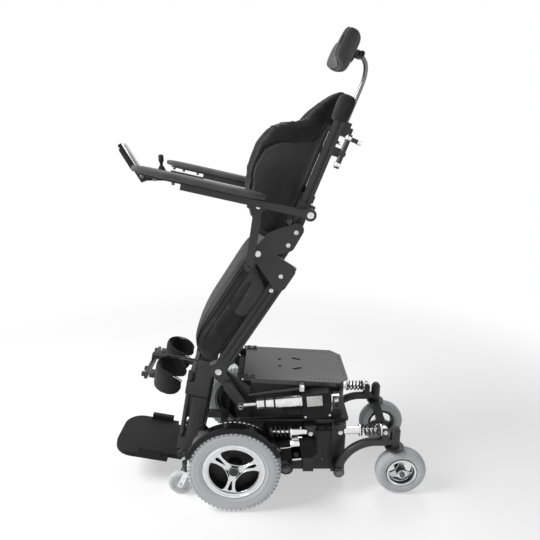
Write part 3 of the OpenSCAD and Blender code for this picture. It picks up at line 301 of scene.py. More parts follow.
@dataclass(frozen=True)
class Bright:
    """Turned or polished metal with drawn lines along one axis.

    Attributes:
        name: name of the material.
        colour: linear colour.
        rough: mean roughness.
        grain: scale of the lines along X, Y and Z.
    """

    name: str
    colour: Point
    rough: float = 0.2
    grain: Point = (30.0, 900.0, 900.0)

    def make(self) -> bpy.types.Material:
        """Builds the material."""
        s = Shader(self.name)
        where = s.place()
        lines = s.noise(s.stretched(where, self.grain), 1.0, 3.0)
        smear = s.noise(where, 26.0, 4.0)
        dark = tuple(c * 0.8 for c in self.colour)
        s.bump(lines, 0.06, 0.0003)
        return s.set(Base_Color=s.blend(smear.step(0.3, 0.75), dark, self.colour), Metallic=1.0,
                     Roughness=lines * 0.12 + smear * 0.14 + (self.rough - 0.12))


@dataclass(frozen=True)
class CutFace:
    """Cast wheel with polished outer faces and black recesses.

    Attributes:
        name: name of the material.
        turn_y: height along Y, from the chair's middle, past which a face is polished.
        lip: width of the soft edge between the two.
    """

    name: str
    turn_y: float
    lip: float = 0.0008

    def make(self) -> bpy.types.Material:
        """Builds the material."""
        s = Shader(self.name)
        where = s.place()
        _, y, _ = s.split(where)
        _, facing, _ = s.split(s.node("ShaderNodeTexCoord", {}, {}, "Normal"))
        face = abs(facing).step(0.55, 0.9) * abs(y).step(self.turn_y - self.lip, self.turn_y + self.lip)
        smear = s.noise(where, 40.0, 4.0)
        tone = s.blend(face, (0.012, 0.012, 0.013), s.blend(smear, (0.62, 0.63, 0.64), (0.8, 0.8, 0.81)))
        s.bump(s.noise(where, 900.0, 2.0), 0.05, 0.0003)
        return s.set(Base_Color=tone, Metallic=face * 0.95, Roughness=0.42 - face * 0.22 + smear * 0.12)


@dataclass(frozen=True)
class Rubber:
    """Moulded rubber: matte, mottled, with road dust.

    Attributes:
        name: name of the material.
        colour: linear colour.
        rough: mean roughness.
        soil: linear colour of the dust.
    """

    name: str
    colour: Point
    rough: float = 0.72
    soil: Point = (0.42, 0.41, 0.39)

    def make(self) -> bpy.types.Material:
        """Builds the material."""
        s = Shader(self.name)
        where = s.place()
        mottle, fine = s.noise(where, 34.0, 5.0, 0.65), s.noise(where, 700.0, 3.0)
        shade = tuple(c * 0.9 for c in self.colour)
        tone = s.blend(mottle.step(0.35, 0.7), shade, self.colour)
        tone = s.blend(s.noise(where, 90.0, 6.0, 0.7).step(0.6, 0.85) * 0.35, tone, self.soil)
        s.bump(fine, 0.25, 0.0006)
        return s.set(Base_Color=tone, Roughness=mottle * 0.2 + (self.rough - 0.1), Specular_IOR_Level=0.35)


@dataclass(frozen=True)
class Moulding:
    """Plastic with a pressed grain.

    Attributes:
        name: name of the material.
        colour: linear colour.
        rough: mean roughness.
        grain: cells of the grain per metre.
        relief: strength of the grain.
        coat: clear gloss over it.
    """

    name: str
    colour: Point
    rough: float = 0.5
    grain: float = 900.0
    relief: float = 0.3
    coat: float = 0.0

    def make(self) -> bpy.types.Material:
        """Builds the material."""
        s = Shader(self.name)
        where = s.place()
        cells, cloud = s.cells(where, self.grain), s.noise(where, 14.0, 4.0)
        tone = s.blend(cloud.step(0.3, 0.8), self.colour, tuple(c * 1.4 + 0.0005 for c in self.colour))
        s.bump(cells, self.relief, 0.0005)
        return s.set(Base_Color=tone, Roughness=cloud * 0.2 + (self.rough - 0.1), Coat_Weight=self.coat,
                     Coat_Roughness=0.12, Specular_IOR_Level=0.07)


@dataclass(frozen=True)
class Cloth:
    """Woven cover: two crossed sets of threads, chosen by the way that the surface faces.

    Attributes:
        name: name of the material.
        colour: linear colour of the threads.
        light: linear colour of their tops.
        thread: threads per metre.
        turn: angle about Y that lines the weave up with its panel.
        relief: strength of the weave.
        rough: roughness.
    """

    name: str
    colour: Point
    light: Point
    thread: float = 620.0
    turn: float = 0.0
    relief: float = 0.5
    rough: float = 0.86

    def make(self) -> bpy.types.Material:
        """Builds the material."""
        s = Shader(self.name)
        where = s.place(self.turn)
        axes = [(part * (self.thread * math.pi)).sine() for part in s.split(where)]
        facing = s.node("ShaderNodeMapping", {}, {"Vector": s.node("ShaderNodeTexCoord", {}, {}, "Normal"),
                                                  "Rotation": (0, math.radians(self.turn), 0)})
        share = [abs(part) ** 4.0 for part in s.split(facing)]
        pairs = [axes[1] * axes[2], axes[0] * axes[2], axes[0] * axes[1]]
        weave = sum((pair * part for pair, part in zip(pairs, share)), start=0.0) * 0.5 + 0.5
        cloud, fuzz = s.noise(where, 11.0, 5.0), s.noise(where, 420.0, 4.0)
        tone = s.blend(weave * 0.55 + cloud.step(0.35, 0.75) * 0.3 + fuzz * 0.15, self.colour, self.light)
        s.bump(weave + fuzz * 0.4, self.relief, 0.0006)
        s.surface.inputs["Sheen Weight"].default_value = 0.22
        s.surface.inputs["Sheen Roughness"].default_value = 0.45
        return s.set(Base_Color=tone, Roughness=cloud * 0.1 + (self.rough - 0.05), Specular_IOR_Level=0.08)


@dataclass(frozen=True)
class Glass:
    """Dark cover glass of a display, with a faint smear."""

    name: str

    def make(self) -> bpy.types.Material:
        """Builds the material."""
        s = Shader(self.name)
        smear = s.noise(s.place(), 60.0, 4.0)
        return s.set(Base_Color=s.blend(smear, (0.006, 0.007, 0.008), (0.012, 0.013, 0.015)),
                     Roughness=smear * 0.12 + 0.03, Coat_Weight=0.6)


class Finish(Enum):
    """The finishes of the chair."""

    FRAME = Coat("frame_black", (0.0045, 0.0045, 0.0048))
    MOTOR = Coat("motor_black", (0.009, 0.009, 0.0095), 0.34, 0.2)
    PLATE = Coat("plate_grey", (0.031, 0.031, 0.031), 0.5, 0.25, 0.12)
    WIRE_BLACK = Coat("spring_black", (0.01, 0.01, 0.01), 0.28, 0.05)
    ALLOY = Bright("bright_alloy", (0.88, 0.88, 0.885))
    STEEL = Bright("stem_steel", (0.2, 0.2, 0.205), 0.34, (900.0, 900.0, 24.0))
    CHROME = Bright("chrome_bolts", (0.72, 0.72, 0.73), 0.16, (200.0, 200.0, 200.0))
    BOLT_DARK = Bright("bolt_dark", (0.16, 0.16, 0.165), 0.36, (300.0, 300.0, 300.0))
    DRIVE_RIM = CutFace("drive_rim_cut", 0.2475 + 0.0245)
    CASTER_RIM = CutFace("caster_rim_cut", 0.168 + 0.0055)
    TYRE = Rubber("tyre_grey", (0.77, 0.78, 0.795))
    GRIP = Rubber("black_rubber", (0.013, 0.013, 0.013), 0.62, (0.03, 0.03, 0.03))
    FOOT_MAT = Rubber("foot_mat", (0.0036, 0.0036, 0.0038), 0.8, (0.012, 0.012, 0.012))
    SHELL = Moulding("shell_black", (0.0032, 0.0032, 0.0034), 0.44, 1000.0, 0.25)
    FENDER = Moulding("fender_gloss", (0.003, 0.003, 0.0032), 0.26, 600.0, 0.04, 0.42)
    CASE = Moulding("control_case", (0.019, 0.019, 0.02), 0.44, 1400.0, 0.2)
    FOAM_SKIN = Moulding("arm_pad_skin", (0.085, 0.085, 0.0855), 0.5, 520.0, 0.35)
    BATTERY = Moulding("battery_case", (0.05, 0.05, 0.052), 0.5)
    LABEL = Moulding("blank_label", (0.62, 0.62, 0.6), 0.45, 2000.0, 0.04)
    SEAT_CLOTH = Cloth("seat_cloth", (0.021, 0.021, 0.0215), (0.052, 0.052, 0.053), 560.0, 57.0)
    BACK_CLOTH = Cloth("back_cloth", (0.02, 0.02, 0.0205), (0.048, 0.048, 0.049), 560.0, -21.7)
    BACK_MESH = Cloth("back_spacer", (0.036, 0.036, 0.0365), (0.1, 0.1, 0.101), 300.0, -21.7, 0.8)
    HEAD_CLOTH = Cloth("head_cloth", (0.05, 0.05, 0.0505), (0.12, 0.12, 0.121), 620.0, -9.7, 0.4)
    CUP_CLOTH = Cloth("knee_cloth", (0.0095, 0.0095, 0.01), (0.024, 0.024, 0.025), 500.0, -10.8)
    PIPING = Cloth("piping", (0.008, 0.008, 0.0085), (0.02, 0.02, 0.021), 900.0, 0.0, 0.3, 0.7)
    GLASS = Glass("display_glass")

    @property
    def material(self) -> bpy.types.Material:
        """The finish's material, made on its first use."""
        return bpy.data.materials.get(self.value.name) or self.value.make()


class Shape:
    """A new piece, modelled in local millimetres and then put in its place."""

    def __init__(self, name: str) -> None:
        """Takes the object that an operator has just made.

        Args:
            name: name of the piece.
        """
        self.obj = bpy.context.object
        self.obj.name = self.obj.data.name = name

    @staticmethod
    def clear() -> None:
        """Deselects everything."""
        bpy.ops.object.select_all(action="DESELECT")

    @classmethod
    def rod(cls, name: str, r: float, h: float, sides: int = 32, r_end: float | None = None,
            base: float = 0.0) -> "Shape":
        """A round bar or cone along Z.

        Args:
            name: name of the piece.
            r: radius at the start.
            h: length.
            sides: faces round it.
            r_end: radius at the end, if it differs.
            base: Z of the start.
        Returns:
            The piece.
        """
        cls.clear()
        bpy.ops.mesh.primitive_cone_add(vertices=sides, radius1=r, radius2=r if r_end is None else r_end,
                                        depth=h,
                                        location=(0, 0, base + h / 2))
        bpy.ops.object.transform_apply(location=True)
        return cls(name)

    @classmethod
    def block(cls, name: str, low: Point, high: Point) -> "Shape":
        """A box between two corners, for shaping."""
        cls.clear()
        bpy.ops.mesh.primitive_cube_add(size=1.0, location=[(a + b) / 2 for a, b in zip(low, high)])
        bpy.context.object.scale = [b - a for a, b in zip(low, high)]
        bpy.ops.object.transform_apply(location=True, scale=True)
        return cls(name)

    @classmethod
    def ring(cls, name: str, points: Sequence[Point], fill: bool) -> "Shape":
        """A closed loop of points, filled or open."""
        cls.clear()
        bpy.ops.mesh.primitive_circle_add(vertices=len(points),
                                          radius=1.0, fill_type="NGON" if fill else "NOTHING")
        piece = cls(name)
        for vertex, point in zip(piece.obj.data.vertices, points):
            vertex.co = point
        return piece

    @classmethod
    def slab(cls, name: str, points: Sequence[tuple[float, float]], y: float, t: float) -> "Shape":
        """A plate from an outline in X and Z, of thickness t about y."""
        piece = cls.ring(name, [(p[0], y - t / 2, p[1]) for p in points], True)
        piece.extrude(lambda c, n: True, (0, t, 0))
        return piece.outward()

    @classmethod
    def loft(cls, name: str, rings: Sequence[Sequence[Point]], capped: bool = True) -> "Shape":
        """A skin through rings of equal point counts, extruded ring by ring."""
        piece = cls.ring(name, rings[0], capped)
        count = len(rings[0])
        with piece.editing(lambda c, n: True):
            bpy.ops.mesh.select_mode(type="FACE" if capped else "EDGE")
            bpy.ops.mesh.select_all(action="SELECT")
            for _ in rings[1:]:
                if capped:
                    bpy.ops.mesh.extrude_region_move(TRANSFORM_OT_translate={"value": (0, 0, 1)})
                else:
                    bpy.ops.mesh.extrude_edges_move(TRANSFORM_OT_translate={"value": (0, 0, 1)})
        for k, ring in enumerate(rings):
            for j, point in enumerate(ring):
                piece.obj.data.vertices[k * count + j].co = point
        return piece.outward()

    @classmethod
    def lathe(cls, name: str, profile: Sequence[tuple[float, float]], steps: int,
              closed: bool = True) -> "Shape":
        """A turned form about Z from points of radius and Z."""
        piece = cls.ring(name, [(r, 0, z) for r, z in profile], False)
        if not closed:
            edges = piece.obj.data.edges
            last = next(e for e in edges if set(e.vertices) == {0, len(profile) - 1})
            piece.drop_edge(last.index)
        with piece.editing(lambda c, n: True):
            bpy.ops.mesh.select_all(action="SELECT")
            bpy.ops.mesh.spin(steps=steps, angle=math.tau, center=(0, 0, 0), axis=(0, 0, 1))
            bpy.ops.mesh.select_all(action="SELECT")
            bpy.ops.mesh.remove_doubles(threshold=0.001)
        return piece.outward()

    @classmethod
    def tube(cls, name: str, path: Sequence[Point], r: float, sides: int = 4, smooth: bool = True) -> "Shape":
        """A round bar, lead or cord that follows a path.

        Args:
            name: name of the piece.
            path: its points.
            r: its radius.
            sides: fineness of its section.
            smooth: whether the path is rounded through its points.
        Returns:
            The piece.
        """
        cls.clear()
        data = bpy.data.curves.new(name, "CURVE")
        data.dimensions, data.bevel_depth, data.bevel_resolution, data.use_fill_caps = "3D", r, sides, True
        spline = data.splines.new("NURBS" if smooth else "POLY")
        spline.points.add(len(path) - 1)
        for spot, point in zip(spline.points, path):
            spot.co = (*point, 1.0)
        if smooth:
            spline.use_endpoint_u, spline.order_u, spline.resolution_u = True, 3, 6
        made = bpy.data.objects.new(name, data)
        bpy.context.collection.objects.link(made)
        made.select_set(True)
        bpy.context.view_layer.objects.active = made
        bpy.ops.object.convert(target="MESH")
        return cls(name)

    def drop_edge(self, index: int) -> None:
        """Deletes one edge of an open loop."""
        self.activate()
        for edge in self.obj.data.edges:
            edge.select = edge.index == index
        for vertex in self.obj.data.vertices:
            vertex.select = False
        self.obj.data.edges[index].select = True
        bpy.ops.object.mode_set(mode="EDIT")
        bpy.ops.mesh.select_mode(type="EDGE")
        bpy.ops.mesh.delete(type="EDGE_FACE")
        bpy.ops.object.mode_set(mode="OBJECT")

    def activate(self) -> None:
        """Makes this the only selected object."""
        self.clear()
        self.obj.select_set(True)
        bpy.context.view_layer.objects.active = self.obj

    def editing(self, pick: Picker) -> "Editing":
        """Edit mode with the faces selected that pick accepts, by centre and normal."""
        return Editing(self, pick)

    def outward(self) -> "Shape":
        """Points every face outwards."""
        with self.editing(lambda c, n: True):
            bpy.ops.mesh.select_all(action="SELECT")
            bpy.ops.mesh.normals_make_consistent(inside=False)
        return self

    def extrude(self, pick: Picker, move: Point) -> "Shape":
        """Extrudes faces along a vector."""
        with self.editing(pick):
            bpy.ops.mesh.extrude_region_move(TRANSFORM_OT_translate={"value": move})
        return self

    def inset(self, pick: Picker, width: float, depth: float = 0.0, each: bool = False) -> "Shape":
        """Insets faces, and sinks or raises them by a depth."""
        with self.editing(pick):
            bpy.ops.mesh.inset(thickness=width, depth=depth, use_individual=each)
        return self

    def modifier(self, kind: str, **settings: Any) -> "Shape":
        """Adds a modifier, sets it and applies it."""
        self.activate()
        made = self.obj.modifiers.new(kind.lower(), kind)
        for key, value in settings.items():
            setattr(made, key, value)
        bpy.ops.object.modifier_apply(modifier=made.name)
        return self

    def bevel(self, width: float, segments: int = 2, angle: float = 32.0) -> "Shape":
        """Rounds the edges that are sharper than an angle."""
        return self.modifier("BEVEL", width=width, segments=segments, limit_method="ANGLE",
                             angle_limit=math.radians(angle),
                             harden_normals=False)

    def subdivide(self, levels: int = 1) -> "Shape":
        """Rounds the form by subdivision."""
        return self.modifier("SUBSURF", levels=levels, render_levels=levels)

    def shift(self, move: Callable[[Vector], Point]) -> "Shape":
        """Moves each point to where a function says."""
        for vertex in self.obj.data.vertices:
            vertex.co = move(vertex.co.copy())
        return self

    def put(self, place: Matrix) -> "Shape":
        """Puts the piece in its place; a mirrored place keeps its faces outward."""
        self.obj.data.transform(place)
        if place.determinant() < 0:
            self.obj.data.flip_normals()
        return self

    def copy(self, name: str) -> "Shape":
        """A copy with its own mesh."""
        self.activate()
        bpy.ops.object.duplicate(linked=False)
        return Shape(name)

    def join(self, others: Iterable["Shape"]) -> "Shape":
        """Joins other shapes into this one."""
        others = list(others)
        self.clear()
        for other in others:
            other.obj.select_set(True)
        self.obj.select_set(True)
        bpy.context.view_layer.objects.active = self.obj
        bpy.ops.object.join()
        return self

    def done(self, finish: Finish, body: str, stands_for: Sequence[str] = (),
             angle: float = 34.0) -> bpy.types.Object:
        """Shades, dresses and mounts the finished piece.

        Args:
            finish: its finish.
            body: the body that it moves with.
            stands_for: nodes that it replaces.
            angle: edge angle above which shading stays sharp.
        Returns:
            The object.
        """
        self.activate()
        bpy.ops.object.shade_smooth_by_angle(angle=math.radians(angle))
        self.obj.data.materials.clear()
        self.obj.data.materials.append(finish.material)
        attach(self.obj, body)
        if stands_for:
            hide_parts(*stands_for)
        LOG.info("%s rides on %s", self.obj.name, body)
        return self.obj


def upward(_: Vector, normal: Vector) -> bool:
    """Whether a face looks up in its piece's own frame."""
    return normal.z > 0.9


class Editing:
    """Edit mode on one shape, with some of its faces selected."""

    def __init__(self, shape: Shape, pick: Picker) -> None:
        """Keeps the shape and the choice of faces."""
        self.shape, self.pick = shape, pick

    def __enter__(self) -> None:
        """Selects the faces and enters edit mode."""
        self.shape.activate()
        data = self.shape.obj.data
        for vertex in data.vertices:
            vertex.select = False
        for edge in data.edges:
            edge.select = False
        for face in data.polygons:
            face.select = self.pick(face.center, face.normal)
        bpy.ops.object.mode_set(mode="EDIT")
        bpy.ops.mesh.select_mode(type="FACE")

    def __exit__(self, *error: Any) -> None:
        """Goes back to object mode."""
        bpy.ops.object.mode_set(mode="OBJECT")


def lookup(table: Sequence[tuple[float, float]], at: float) -> float:
    """Value of a table of straight stretches at a place.

    Args:
        table: pairs of place and value.
        at: the place.
    Returns:
        The value, held past the ends.
    """
    for (a, va), (b, vb) in zip(table, table[1:]):
        if at <= b:
            return va + (vb - va) * max(0.0, at - a) / (b - a)
    return table[-1][1]


def eased(table: Sequence[tuple[float, float]], at: float, reach: float = 22.0) -> float:
    """A table's value, rounded off over a reach on both sides."""
    return sum(lookup(table, at + reach * k / 3) * (4 - abs(k)) for k in range(-3, 4)) / 16


def power(v: float, n: float) -> float:
    """A power that keeps the sign."""
    return math.copysign(abs(v) ** n, v)


def oval(a: float, b: float, n: float, steps: int) -> list[tuple[float, float]]:
    """Closed rounded outline of half sizes a and b; n above 2 squares it up."""
    turns = [math.tau * i / steps for i in range(steps)]
    return [(a * power(math.cos(t), 2 / n), b * power(math.sin(t), 2 / n)) for t in turns]


@dataclass(frozen=True)
class Stuffing:
    """Swells a cover over its filling by a cloth simulation.

    Attributes:
        voxel: size of the remeshed cover's faces in metres.
        cap: farthest that a point may move, in metres.
        pressure: pressure of the filling.
        soften: rounds of smoothing before it swells.
    """

    voxel: float = 0.006
    cap: float = 0.008
    pressure: float = 4.0
    soften: int = 6

    def swell(self, shape: Shape, hold: Callable[[Vector], float]) -> Shape:
        """Remeshes, softens and swells a shape that is in its place.

        Args:
            shape: the cover, in metres.
            hold: share of the swelling at a point, 0 where the cover rests on something.
        Returns:
            The shape.
        """
        shape.modifier("REMESH", mode="VOXEL", voxel_size=self.voxel)
        shape.modifier("SMOOTH", factor=0.5, iterations=self.soften)
        obj = shape.obj
        start = [v.co.copy() for v in obj.data.vertices]
        cloth = obj.modifiers.new("cover", "CLOTH")
        cloth.settings.use_pressure = True
        cloth.settings.uniform_pressure_force = self.pressure
        cloth.settings.effector_weights.gravity = 0.0
        cloth.settings.quality = 5
        scene = bpy.context.scene
        for step in range(1, 21):
            scene.frame_set(step)
        shown = obj.evaluated_get(bpy.context.evaluated_depsgraph_get())
        ends = [v.co.copy() for v in shown.data.vertices]
        obj.modifiers.remove(cloth)
        scene.frame_set(1)
        for vertex, a, b in zip(obj.data.vertices, start, ends):
            move = (b - a) * hold(a)
            vertex.co = a + (move if move.length < self.cap else move.normalized() * self.cap)
        shape.modifier("SMOOTH", factor=0.5, iterations=3)
        return shape.subdivide(1)


@dataclass
class SeatCushion:
    """Boxed seat cushion with piping and a net pocket on each side.

    Attributes:
        u0: its front end, along the seat from the knee hinge.
        length: its length.
        n0: its underside, off the seat's plane.
        depth: its thickness.
        width: its width.
        nose: how far the front edge is drawn back at the top.
        edge: radius of its side edges.
    """

    u0: float = 27.0
    length: float = 451.0
    n0: float = 36.0
    depth: float = 120.0
    width: float = 396.0
    nose: float = 64.0
    edge: float = 22.0

    def outline(self, y: float, steps: int = 56) -> list[Point]:
        """Points round the cushion at a distance y from the middle."""
        over = max(0.0, abs(y) - self.width / 2 + self.edge) / self.edge
        inset = self.edge * (1 - math.sqrt(max(0.0, 1 - over * over))) * 0.8
        a, b = self.length / 2 - inset, self.depth / 2 - inset
        points = []
        for p, q in oval(a, b, 6, steps):
            t, front = q / self.depth + 0.5, max(0.0, 0.5 - p / self.length)
            crown = 7.0 * max(0.0, q / b) * (1 - (2 * y / self.width) ** 2)
            points.append((p + self.u0 + self.length / 2 + self.nose * front * t * t, y,
                           q + self.n0 + self.depth / 2 + crown))
        return points

    def cover(self) -> None:
        """The stuffed cover."""
        half = self.width / 2
        places = [-half + half * 2 * (0.5 - 0.5 * math.cos(math.pi * i / 24)) for i in range(25)]
        shape = Shape.loft("seat_cover", [self.outline(y) for y in places]).put(SEAT)
        base = SEAT.inverted()
        Stuffing(0.006, 0.006).swell(shape, lambda c: 0.0 if (base @ c).z < self.n0 + 6 else 1.0)
        shape.shift(lambda c: SEAT @ Vector(((base @ c).x, (base @ c).y, max((base @ c).z, self.n0 - 0.4))))
        shape.done(Finish.SEAT_CLOTH, "seat", ["seat_cushion"], 60)

    def trim(self, side: Side) -> None:
        """Piping, the seam along the side and the net pocket."""
        place = side.frame(SEAT)
        y = -self.width / 2
        loop = self.outline(y + 5, 80)
        run = Shape.tube(f"seat_piping_{side.tag}", [*loop, loop[0], loop[1]], 2.3)
        run.put(place).done(Finish.PIPING, "seat", angle=60)
        line = [(u, y - 1.2, 123 - 4 * max(0.0, (110 - u) / 60) ** 2) for u in range(70, 470, 12)]
        Shape.tube(f"seat_seam_{side.tag}", line, 1.6).put(place).done(Finish.PIPING, "seat", angle=60)
        rim = [(446, 121), (300, 121), (268, 112), (254, 90), (250, 68), (258, 46), (276, 39), (330, 38),
               (386, 39), (402, 62)]
        net = Shape.slab(f"seat_pocket_{side.tag}", rim, y - 3.2, 2.4).bevel(0.8)
        net.put(place).done(Finish.BACK_MESH, "seat")
        loop = [(u, y - 3.6, n) for u, n in rim]
        run = Shape.tube(f"seat_pocket_hem_{side.tag}", [*loop, loop[0]], 2.2)
        run.put(place).done(Finish.PIPING, "seat", angle=60)

    def build(self) -> None:
        """Builds the cushion."""
        self.cover()
        for side in Side:
            self.trim(side)


@dataclass
class BackShell:
    """Bucket backrest: deep side wings with a padded band round a net panel.

    Attributes:
        width: width across the wings.
        wall: thickness of the padding.
        edge: front edge of the wings, by height up the back.
        half: share of the width, by height.
        rear: rear face, by height.
        seam: seam of the side panel, as places rearwards and up the back.
    """

    width: float = 404.0
    wall: float = 30.0
    edge: tuple = ((60, -40), (115, -102), (172, -136), (249, -157), (332, -156), (399, -132), (430, -96),
                   (456, -32), (515, -4),
                   (574, 36), (596, 68))
    half: tuple = ((60, 0.9), (115, 0.97), (172, 1), (400, 1), (456, 0.86), (500, 0.72), (560, 0.62),
                   (596, 0.45))
    rear: tuple = ((60, 54), (115, 62), (456, 66), (515, 75), (574, 100), (596, 111))
    seam: tuple = ((-84, 100), (-92, 150), (-98, 200), (-110, 230), (-115, 264), (-104, 325), (-77, 354),
                   (-50, 370), (-7, 383),
                   (30, 400), (52, 432), (60, 470))

    def arc(self, w: float, inset: float, steps: int = 18) -> list[Point]:
        """One face of the shell at a height, from wing tip to wing tip."""
        half = self.width / 2 * eased(self.half, w) - inset
        rear = eased(self.rear, w) - inset
        depth = rear - eased(self.edge, w, 12) - inset * 0.2
        turns = [math.pi / 2 * i / steps for i in range(-steps, steps + 1)]
        return [(rear - depth * (1 - power(math.cos(t), 2 / 3.2)), half * power(math.sin(t), 2 / 3.2), w)
                for t in turns]

    def shell(self) -> Shape:
        """The padded shell, swollen and with its seam drawn in."""
        rings = []
        for i in range(45):
            w = 62 + (594 - 62) * i / 44
            thin = min(1.0, (w - 44) / 40, (610 - w) / 34)
            rings.append(self.arc(w, 2 * (1 - thin)) + self.arc(w, 2 + self.wall * thin)[::-1])
        shape = Shape.loft("back_cover", rings).put(BACK)
        Stuffing(0.006, 0.006, 4.0, 8).swell(shape, lambda c: 1.0)
        base, turn = BACK.inverted(), BACK.to_3x3().normalized()
        shape.obj.data.update()
        out = (turn.inverted() @ v.normal for v in shape.obj.data.vertices)
        moves = []
        for vertex, normal in zip(shape.obj.data.vertices, out):
            p = base @ vertex.co
            outer = abs(normal.y) > 0.35 and normal.y * p.y > 0
            dip = 3.2 * math.exp(-(self.from_seam(p.x, p.z) / 4.5) ** 2) if outer else 0.0
            moves.append(BACK @ (p - normal * dip))
        for vertex, place in zip(shape.obj.data.vertices, moves):
            vertex.co = place
        return shape

    def from_seam(self, m: float, w: float) -> float:
        """Distance of a place on the side from the seam."""
        best = 1e6
        for (am, aw), (bm, bw) in zip(self.seam, self.seam[1:]):
            dm, dw = bm - am, bw - aw
            t = min(1.0, max(0.0, ((m - am) * dm + (w - aw) * dw) / (dm * dm + dw * dw)))
            best = min(best, math.hypot(m - am - t * dm, w - aw - t * dw))
        return best

    def inside(self, m: float, w: float) -> bool:
        """Whether a place on the side lies in the net panel, behind and below the seam."""
        front = lookup([(b, a) for a, b in self.seam[:6]], w)
        top = lookup(self.seam[5:], m)
        return m > front and w < top

    def build(self) -> None:
        """Builds the shell, its two covers and a dark thread along each seam, which is partly a real stitch
        line and partly painted shadow of the seam's groove.
        """
        shape = self.shell()
        made = shape.done(Finish.BACK_CLOTH, "back", ["back_cushion"], 60)
        made.data.materials.append(Finish.BACK_MESH.material)
        base = BACK.inverted()
        for face in made.data.polygons:
            p = base @ face.center
            side = abs(face.normal.y) > 0.4 and face.normal.y * p.y > 0 and self.inside(p.x, p.z)
            face.material_index = int(side or (abs(p.y) < 118 and 130 < p.z < 470))
        # Dark thread along each seam: a stitch line, made dark so that it also paints the shadow in the
        # seam's groove.
        for side in Side:
            path = []
            for m, w in self.seam:
                start = BACK @ Vector((m, side.sign * 400.0, w))
                hit, spot, _, _ = made.ray_cast(start, Vector((0, -side.sign, 0)))
                if hit:
                    path.append(spot + Vector((0, side.sign * 0.0006, 0)))
            Shape.tube(f"back_thread_{side.tag}", path, 0.0016).done(Finish.PIPING, "back", angle=60)


@dataclass
class Headrest:
    """Curved headrest pad with piping round its face.

    Attributes:
        centre: place rearwards and up the back.
        width, height, depth: its sizes.
        wing: how far its ends come forward.
        lean: its tilt in degrees.
    """

    centre: tuple[float, float] = (40.0, 723.0)
    width: float = 246.0
    height: float = 121.0
    depth: float = 47.0
    wing: float = 34.0
    lean: float = -4.0

    def section(self, x: float, steps: int = 36) -> list[Point]:
        """Points round the pad at a share x of its half width."""
        e = max(0.0, 1 - abs(x) ** 9) ** 0.4 * 0.74 + 0.26
        c, s = math.cos(math.radians(self.lean)), math.sin(math.radians(self.lean))
        return [(self.centre[0] + p * c - q * s - self.wing * x * x, x * self.width / 2,
                 self.centre[1] + q * c + p * s)
                for p, q in oval(self.depth / 2 * e, self.height / 2 * e * (1 - 0.12 * x * x), 4.2, steps)]

    def build(self) -> None:
        """Builds the pad, its piping and the carrier plate behind it."""
        shares = [math.copysign(1 - (1 - abs(i) / 16) ** 1.6, i) for i in range(-16, 17)]
        shape = Shape.loft("head_cover", [self.section(x) for x in shares]).put(BACK)
        Stuffing(0.004, 0.003, 4.0, 4).swell(shape, lambda c: 1.0)
        base = BACK.inverted()
        c, s = math.cos(math.radians(self.lean)), math.sin(math.radians(self.lean))
        for vertex in shape.obj.data.vertices:
            p = base @ vertex.co
            m, w = p.x - self.centre[0] + self.wing * (2 * p.y / self.width) ** 2, p.z - self.centre[1]
            dip = 2.4 * math.exp(-((m * c + w * s + 6) / 3.5) ** 2)
            vertex.co = BACK @ Vector((p.x, p.y * (1 - dip / 160), p.z - (w / 70) * dip))
        shape.done(Finish.HEAD_CLOTH, "headrest_pad", ["headrest_pad"], 60)
        loop = []
        for k in range(64):
            t = math.tau * k / 64
            x = power(math.cos(t), 0.8) * 0.985
            e = max(0.0, 1 - abs(x) ** 6) ** 0.4 * 0.8 + 0.2
            q = self.height / 2 * e * (1 - 0.12 * x * x) * power(math.sin(t), 0.35 if abs(x) > 0.9 else 0.2)
            p = -6.0
            loop.append((self.centre[0] + p * c - q * s - self.wing * x * x, x * self.width / 2,
                         self.centre[1] + q * c + p * s))
        run = Shape.tube("head_piping", [*loop, loop[0], loop[1]], 1.9)
        run.put(BACK).done(Finish.PIPING, "headrest_pad", angle=60)
        carrier = Shape.slab("head_carrier", [(22.0 * math.cos(a) * 1.6, 22.0 * math.sin(a)) for a in
                                              [math.tau * k / 28 for k in range(28)]], 0, 5).bevel(1.4)
        carrier.shift(lambda v: (v.y, v.x, v.z))
        carrier.outward().put(within(BACK, self.centre[0] + 27.6, 0, self.centre[1], -self.lean))
        carrier.done(Finish.FRAME, "headrest_pad")
        for y in (-19, 19):
            ear = Shape.slab(f"head_ear_{'l' if y < 0 else 'r'}", [(10 * math.cos(a) + 4, 10 * math.sin(a))
                                                                   for a in
                             [math.radians(-90 + 12 * k) for k in range(16)]] + [(-20, 10),
                                     (-20, -10)], y, 6).bevel(1.2)
            ear.put(within(BACK, 83, 0, 731)).done(Finish.FRAME, "headrest_pad")
        knob = Shape.rod("head_knob", 11, 14, 24, 9.5).inset(upward, 3, -1.5)
        knob.inset(lambda c, n: abs(n.z) < 0.5, 0.5, -0.8, True).bevel(0.5)
        knob.put(within(BACK, 87, -23.5, 731, 90, "X")).done(Finish.GRIP, "headrest_pad")
        self.stem()

    def stem(self) -> None:
        """Builds the stem: a straight length, a drawn bend, the ball at its end and the pin through it."""
        low, bend, corner, end = (132.0, 470.0), (132.0, 640.0), (132.0, 722.0), (87.0, 731.0)
        path = [(low[0], 0, low[1] + (bend[1] - low[1]) * i / 6) for i in range(6)]
        for i in range(13):
            t = i / 12
            m, w = (bend[k] * (1 - t) ** 2 + corner[k] * 2 * t * (1 - t) + end[k] * t * t for k in range(2))
            path.append((m, 0, w))
        tube = Shape.tube("stem_tube", path, 8.0, 6).put(BACK)
        arc = [math.radians(-90 + 15 * k) for k in range(13)]
        ball = Shape.lathe("ball", [(13 * abs(math.cos(a)), 13 * math.sin(a)) for a in arc], 32, False)
        pin = Shape.rod("pin", 5, 46, 24, None, -23).bevel(0.8)
        place = within(BACK, *(end[0], 0, end[1]))
        tube.join([ball.put(place), pin.put(within(place, 0, 0, 0, 90, "X"))])
        tube.done(Finish.STEEL, "headrest_stem", ["headrest_stem"], 50)


